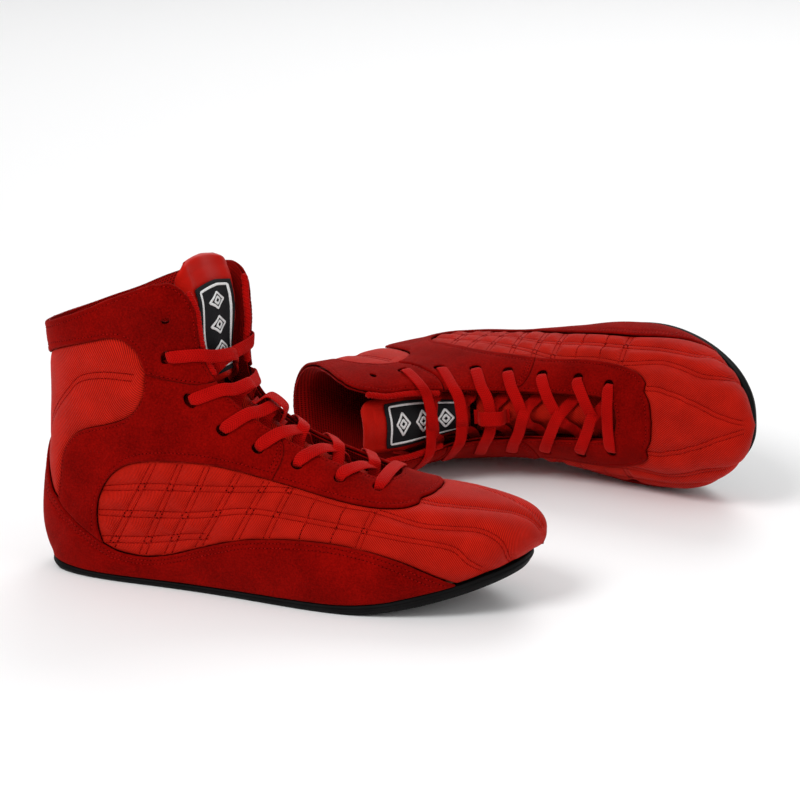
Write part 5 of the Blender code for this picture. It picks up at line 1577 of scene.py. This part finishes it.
# ---------------------------------------------------------------- the tongue
TONGUE_DEPTH = 11.6
TONGUE_THICK = 3.4
TONGUE_DROP = 0.8
TONGUE_CROWN = 4.0
TONGUE_SPLIT = 203.0
TONGUE_LOW = [(86.0, 13.0), (100.0, 17.0), (120.0, 21.0), (145.0, 23.0), (165.0, 25.0), (184.0, 26.0),
              (202.2, 26.0)]
TONGUE_HIGH = [(205.8, 26.0), (222.0, 26.0), (240.0, 25.5), (255.0, 24.5), (266.0, 22.5), (272.0, 18.0),
               (275.5, 11.0)]
PUFF = 13.0  # length of one sewn pad of the tongue
LABEL_SPAN, LABEL_HALF = (208.5, 259.0), 13.5
MARK_HALF, MARK_HEIGHT, MARK_LIFT = 0.75, 0.32, 2.0  # the label's threads


def tongue_point(boot, c, q, lift=0.0):
    """A point lift millimetres above the tongue's face, which is flatter than the shaft round it."""
    c, q = np.asarray(c, float), np.where(np.abs(q) < 1e-6, 1e-6, q)
    surface, normal = skin(boot, *from_throat(c, q), 0.0)
    middle = skin(boot, *from_throat(c, np.full_like(c, 1e-6)), 0.0)[1]
    way = unit(normal + 0.5 * middle)
    q = np.abs(q)
    depth = TONGUE_DEPTH - TONGUE_CROWN * (1 - ramp(q, 2.0, 12.0)) + TONGUE_DROP * ramp(q, 12.0, 20.0)
    depth = depth - boot["lean"] * ramp(c, TONGUE_SPLIT, 256.0) * (1 - 0.75 * ramp(q, 12.0, 25.0))
    return surface + way * (lift - depth)[:, None]


def slid(boot, c):
    """A length along the tongue, after its top has slid down into the shaft."""
    return c + boot["slide"] * ramp(c, 100.0, 190.0)


def grid_solid(boot, name, low, high, rows, columns, uv, spec, body):
    """A closed slab between two grids of points."""
    index = np.arange(rows * columns).reshape(rows, columns)
    quads = np.stack([index[:-1, :-1], index[1:, :-1], index[1:, 1:], index[:-1, 1:]], -1).reshape(-1, 4)
    shift = rows * columns
    rim = np.concatenate([index[:, 0], index[-1, 1:], index[-2::-1, -1], index[0, -2:0:-1]])
    after = np.roll(rim, -1)
    faces = np.vstack([quads, quads[:, ::-1] + shift, np.stack([rim, rim + shift, after + shift, after], -1)])
    points = np.vstack([low, high])
    k = points[faces] - points.mean(0)
    volume = (np.cross(k[:, 1], k[:, 2]) * k[:, 0] + np.cross(k[:, 2], k[:, 3]) * k[:, 0]).sum()
    if volume < 0:
        faces = faces[:, ::-1]
    return add_piece(boot, name, points, faces, spec, [name], body, np.vstack([uv, uv]))


def pad(boot, name, outline, puffs, body, spec):
    """One half of the tongue: a crowned pad with sewn channels across it, closed on all sides."""
    knots = smooth_line(outline, 1.0)
    c_rows = np.linspace(knots[0, 0], knots[-1, 0], int((knots[-1, 0] - knots[0, 0]) / 0.8) + 1)
    half = np.interp(c_rows, knots[:, 0], knots[:, 1])
    c_rows = slid(boot, c_rows)
    share = np.sin(np.linspace(-np.pi / 2, np.pi / 2, 49))
    c, k = (v.ravel() for v in np.meshgrid(c_rows, share, indexing="ij"))
    q = np.repeat(half, len(share)) * k
    side = np.sqrt(np.clip(1 - np.abs(k) ** 5, 0, 1))
    ends = np.minimum(c - c_rows[0], c_rows[-1] - c)
    close = np.sqrt(np.clip(1 - (1 - np.clip(ends / 3.0, 0, 1)) ** 2, 0, 1))
    full = 0.5 * TONGUE_THICK * side * (0.15 + 0.85 * close)
    swell = puffs * np.abs(np.sin(np.pi * (c - slid(boot, TONGUE_SPLIT)) / PUFF)) ** 0.6 * side * close
    middle = -0.5 * TONGUE_THICK
    high = tongue_point(boot, c, q, middle + full + swell - 0.5 * puffs)
    low = tongue_point(boot, c, q, middle - full)
    flat = np.stack([c, q], -1)
    obj = grid_solid(boot, name, low, high, len(c_rows), len(share), flat, spec, body)
    return obj


def cloth_patch(boot, name, c_range, half, lift, thickness, spec, body, step=0.9):
    """A cloth rectangle that lies on the tongue."""
    cs = np.linspace(*c_range, int((c_range[1] - c_range[0]) / step) + 2)
    qs = np.linspace(-half, half, int(2 * half / step) + 2)
    c, q = (v.ravel() for v in np.meshgrid(cs, qs, indexing="ij"))
    rim = np.minimum(np.minimum(c - c_range[0], c_range[1] - c), half - np.abs(q))
    curl = 0.35 * (1 - ramp(rim, 0.0, 1.4))
    low = tongue_point(boot, c, q, lift - curl)
    high = tongue_point(boot, c, q, lift + thickness - curl)
    grid_solid(boot, name, low, high, len(cs), len(qs), np.stack([c, q], -1), spec, body)


def label_marks(boot):
    """A plain woven border and a row of diamonds on the label, as raised threads."""
    start, end = slid(boot, LABEL_SPAN[0]), slid(boot, LABEL_SPAN[1])
    low, high, edge = start + 3.0, end - 3.0, LABEL_HALF - 2.7
    lines = [[(low, -edge), (high, -edge), (high, edge), (low, edge), (low, -edge)]]
    for middle in np.linspace(start + 11.5, end - 11.5, 3):
        for reach, half in ((4.6, 6.4), (2.1, 2.9)):
            before, ahead = (middle - reach, 0.0), (middle + reach, 0.0)
            lines.append([before, (middle, -half), ahead, (middle, half), before])
    verts, faces, uv = [], [], []
    for line in lines:
        path = dense(np.array(line), 0.8)
        first = sum(len(v) for v in verts)
        ring = []
        for angle in np.arange(6) * np.pi / 3:
            flat = path + MARK_HALF * math.cos(angle) * sidewise(path)
            lift = np.full(len(flat), MARK_LIFT + MARK_HEIGHT * math.sin(angle))
            ring.append(tongue_point(boot, flat[:, 0], flat[:, 1], lift))
        verts.append(np.stack(ring, 1).reshape(-1, 3))
        uv.append(np.repeat(path, 6, axis=0))
        for start_of in range(first, first + 6 * (len(path) - 1), 6):
            for j in range(6):
                k = (j + 1) % 6
                faces.append((start_of + j, start_of + k, start_of + 6 + k, start_of + 6 + j))
    faces = np.array(faces)[:, ::-1]
    add_piece(boot, "label_border", np.vstack(verts), faces, WHITE, [], "tongue", np.vstack(uv))


def tongue(boot):
    pad(boot, "tongue_lower", TONGUE_LOW, 0.9, "boot", TWILL)
    pad(boot, "tongue_upper", TONGUE_HIGH, 0.7, "tongue", SATIN)
    span = [slid(boot, c) for c in LABEL_SPAN]
    cloth_patch(boot, "tongue_label", span, LABEL_HALF, 1.25, 0.6, LABEL, "tongue")
    label_marks(boot)


# ---------------------------------------------------------------- laces, loop and piping
LACE_HALF, LACE_THICK = 3.7, 1.3
ON_TOP = (1, -1, 1, 1, -1, 1)
OVER_LIFT, UNDER_LIFT = 1.15, -1.9
TAIL = [(76.0, 128.0), (70.0, 108.0), (68.0, 88.0), (74.0, 66.0), (88.0, 46.0), (104.0, 32.0)]
AGLET, AGLET_RADIUS = 20.0, 1.6
PLAIT_PITCH = 2.6  # of the piping cord


def throat_point(boot, c, q, lift):
    c, q = np.atleast_1d(np.asarray(c, float)), np.atleast_1d(np.asarray(q, float))
    u, m = from_throat(c, np.where(np.abs(q) < 1e-6, 1e-6, q))
    return skin(boot, u, m, lift)


def lace_rows():
    """Half a lacing, from the bar at the foot of the throat to the top used hole: c, q, lift, half width.

    At a crossing the lift is the crossing's number, because it depends on which half is on top there.
    """
    over_h, under_h = 1.9, -8.4
    path, side = [], 1
    for k in range(USED_HOLES - 1):
        (c0, q0), (c1, q1) = HOLES[k], HOLES[k + 1]
        e0, e1 = throat_edge_at(c0), throat_edge_at(c1)
        path += [
            (c0, side * q0, -3.2, 2.6),
            (c0 + 1.0, side * (q0 - 2.5), under_h + 0.6, 2.8),
            (c0 + 3.0, side * (e0 + 1.5), under_h, LACE_HALF),
            (c0 + 6.0, side * (e0 - 4.5), -7.4, LACE_HALF),
            (c0 + 8.5, side * (e0 - 9.5), -3.4, LACE_HALF),
            ((c0 + c1) / 2, 0.0, k, LACE_HALF),
            (c1 - 7.0, -side * (e1 - 6.5), 0.8, LACE_HALF),
            (c1 - 3.2, -side * (e1 + 1.5), over_h, LACE_HALF),
            (c1 - 0.6, -side * (q1 - 4.5), over_h, LACE_HALF),
            (c1, -side * (q1 - 0.9), 0.9, 2.9),
        ]
        side = -side
    return path, side


def lace_nodes(boot):
    """The whole lace as stations: point, width direction and half width, from one tail to the other."""
    path, end_side = lace_rows()
    halves = []
    for half in (1, -1):
        stations = []
        for c, q, lift, width in path:
            if q == 0.0:
                lift = OVER_LIFT if ON_TOP[lift] == half else UNDER_LIFT
            stations.append((c, half * q, lift, width))
        c, q, lift, width = (np.array(column) for column in zip(*stations))
        points, normals = throat_point(boot, c, q, lift)
        hole_c, hole_q = HOLES[USED_HOLES - 1]
        tail_side = half * end_side
        inside_q = tail_side * np.array([hole_q, hole_q + 3.0])
        low, low_n = throat_point(boot, np.array([hole_c, hole_c]), inside_q, np.array([-3.2, -9.0]))
        tail_xz = np.array(TAIL)
        u, m = from_side(tail_xz[:, 0], tail_xz[:, 1], tail_side)
        tail, tail_n = skin(boot, u, m, -9.2)
        points, normals = np.vstack([points, low, tail]), np.vstack([normals, low_n, tail_n])
        width = np.concatenate([width, [2.6, 2.8], np.full(len(tail), 3.2)])
        width[-1] = 1.5
        halves.append((points, normals, width))
    return halves


def widths_way(points, normals):
    """The direction across a band: square to its run and, where it can be, flat on the boot."""
    run = unit(np.gradient(points, axis=0))
    flat_run = run - (run * normals).sum(1, keepdims=True) * normals
    strength = np.linalg.norm(flat_run, axis=1)
    for i in range(len(points)):
        if strength[i] < 0.45 and i > 0:
            flat_run[i] = flat_run[i - 1] - np.dot(flat_run[i - 1], normals[i]) * normals[i]
    across = np.cross(normals, unit(flat_run))
    return unit(across - (across * run).sum(1, keepdims=True) * run)


def lace_line(boot):
    """Both halves joined at the middle of the bottom bar."""
    first, second = lace_nodes(boot)
    c0, q0 = HOLES[0]
    bar_q = np.array([q0 - 0.6, q0 - 5.0, 9.0, 0.0, -9.0, -(q0 - 5.0), -(q0 - 0.6)])
    bar_lift = np.array([0.9, 1.9, 1.7, 1.5, 1.7, 1.9, 0.9])
    bar, bar_n = throat_point(boot, np.full(len(bar_q), c0 - 0.5), bar_q, bar_lift)
    bar_w = np.array([2.9] + [LACE_HALF] * 5 + [2.9])
    points = np.vstack([first[0][::-1], bar, second[0]])
    normals = np.vstack([first[1][::-1], bar_n, second[1]])
    return points, normals, np.concatenate([first[2][::-1], bar_w, second[2]])


def resampled(rows, step):
    """A smooth line through rows of x, y, z and more columns, spaced by its 3-D length."""
    line = catmull_rom(rows, 14)
    run = running_length(line[:, :3])
    even = np.linspace(0, run[-1], int(run[-1] / step) + 2)
    return at_lengths(line, run, even), even


def add_tube(boot, name, middle, rings, spec, lengths, across):
    """A closed tube through rings of points round a middle line; across is each ring point's own v."""
    count, sides = rings.shape[:2]
    index = np.arange(count * sides).reshape(count, sides)
    after = np.roll(index, -1, axis=1)
    faces = np.stack([index[:-1], after[:-1], after[1:], index[1:]], -1).reshape(-1, 4)
    verts = np.vstack([rings.reshape(-1, 3), middle[:1], middle[-1:]])
    caps = []
    for ring, hub, flip in ((index[0], count * sides, False), (index[-1], count * sides + 1, True)):
        for j in range(0, sides, 2):
            quad = [ring[j], hub, ring[(j + 2) % sides], ring[(j + 1) % sides]]
            caps.append(quad[::-1] if flip else quad)
    faces = np.vstack([faces, np.array(caps)])
    half = count // 2
    sample = faces[half * sides:(half + 1) * sides]
    turned = np.cross(verts[sample[:, 1]] - verts[sample[:, 0]], verts[sample[:, 2]] - verts[sample[:, 0]])
    if (turned * (verts[sample].mean(1) - middle[half])).sum() < 0:
        faces = faces[:, ::-1]
    uv = np.vstack([np.stack([np.repeat(lengths, sides), across], -1), [[0.0, 0.0], [lengths[-1], 0.0]]])
    add_piece(boot, name, verts, faces, spec, [name], uv=uv)


def ribbon(boot, name, points, normals, width, thickness, spec, step=1.1, sides=14):
    """A flat woven band with round edges along a line."""
    across = widths_way(points, normals)
    for i in range(1, len(across)):
        if np.dot(across[i], across[i - 1]) < 0:
            across[i] = -across[i]
    rows, even = resampled(np.hstack([points, across, width[:, None]]), step)
    points, across, width = rows[:, :3], rows[:, 3:6], rows[:, 6]
    run = unit(np.gradient(points, axis=0))
    across = unit(across - (across * run).sum(1, keepdims=True) * run)
    face = np.cross(run, across)
    turn = np.linspace(0, 2 * np.pi, sides, endpoint=False) + np.pi / sides
    wide = np.sign(np.cos(turn)) * np.abs(np.cos(turn)) ** 0.55
    high = np.sign(np.sin(turn)) * np.abs(np.sin(turn)) ** 0.8
    squeeze = thickness / 2 * (1 + 0.35 * np.clip(1 - width / width.max(), 0, 1))
    rings = points[:, None] + across[:, None] * (width[:, None] * wide)[..., None]
    rings = rings + face[:, None] * (squeeze[:, None] * high)[..., None]
    add_tube(boot, name, points, rings, spec, even, (width[:, None] * wide).ravel())


def lace(boot):
    points, normals, width = lace_line(boot)
    ribbon(boot, "lace", points, normals, width, LACE_THICK, WEBBING)
    for name, tip, before in (("aglet_outer", points[0], points[1]), ("aglet_inner", points[-1], points[-2])):
        way = (tip - before) / np.linalg.norm(tip - before)
        line = np.array([tip + way * d for d in (-1.5, 1.0, AGLET / 2, AGLET)])
        cord_tube(boot, name, line, AGLET_RADIUS, CLEAR_TIP, 10, 1.0, 0.0)


def cord_tube(boot, name, points, radius, spec, sides, step, rope):
    """A round cord with closed, rounded ends, and a plaited surface where rope is above 0."""
    rows, even = resampled(points, step)
    run = unit(np.gradient(rows, axis=0))
    across = unit(np.cross(run, np.array([0.3, 0.1, 1.0])))
    up = np.cross(across, run)
    ends = np.minimum(even, even[-1] - even)
    taper = np.sqrt(np.clip(1 - (1 - np.clip(ends / radius, 0, 1)) ** 2, 0.02, 1))
    turn = np.linspace(0, 2 * np.pi, sides, endpoint=False)
    plait = rope * (np.abs(np.sin(np.pi * even[:, None] / PLAIT_PITCH + turn[None])) - 0.5)
    size = (radius * taper)[:, None] + plait * taper[:, None]
    spoke = np.cos(turn)[None, :, None] * across[:, None] + np.sin(turn)[None, :, None] * up[:, None]
    rings = rows[:, None] + size[..., None] * spoke
    add_tube(boot, name, rows, rings, spec, even, np.tile(turn * radius, len(rows)))


def piping(boot, side, name):
    """The woven cord down the front edge of a collar flap."""
    radius = 1.9
    c = np.linspace(209.0, 262.0, 40)
    q = side * (throat_edge_at(c) - radius - 0.1)
    cord_tube(boot, name, throat_point(boot, c, q, -1.6)[0], radius, WEBBING, 16, 0.5, 0.5)


def lace_loop(boot):
    """A webbing keeper sewn to the tongue at both ends, over one crossing of the lace."""
    middle = (HOLES[3][0] + HOLES[4][0]) / 2
    c = middle + np.array([-11.0, -8.6, -8.2, -5.5, 5.5, 8.2, 8.6, 11.0])
    lift = np.array([-5.0, -5.0, -2.5, 4.1, 4.1, -2.5, -5.0, -5.0])
    points, normals = throat_point(boot, c, np.zeros(len(c)), lift)
    ribbon(boot, "lace_loop", points, normals, np.full(len(c), 4.6), 1.0, WEBBING)


# ---------------------------------------------------------------- the pair
KEPT_NODES = {"insole_board": "fibre_board", "toe_puff": "foam", "heel_stiffener": "stiffener_board"}


def build_boot(boot):
    """All the pieces of one boot, and materials for the CAD nodes that stay visible inside it."""
    sole_layers(boot)
    vamp(boot)
    eyestay(boot)
    quarter(boot, 1, "quarter_outer")
    quarter(boot, -1, "quarter_inner")
    collar(boot, 1, "collar_outer")
    collar(boot, -1, "collar_inner")
    ankle_panel(boot)
    rand(boot)
    collar_foam(boot)
    vamp_lining(boot)
    quarter_lining(boot)
    tongue(boot)
    lace(boot)
    lace_loop(boot)
    piping(boot, 1, "piping_outer")
    piping(boot, -1, "piping_inner")
    add_stitches(boot)
    for node, make in KEPT_NODES.items():
        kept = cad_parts[boot["name"] + "_" + node]
        kept.data.materials.clear()
        kept.data.materials.append(MATERIALS[make]())


build_boot(RIGHT)
build_boot(LEFT)
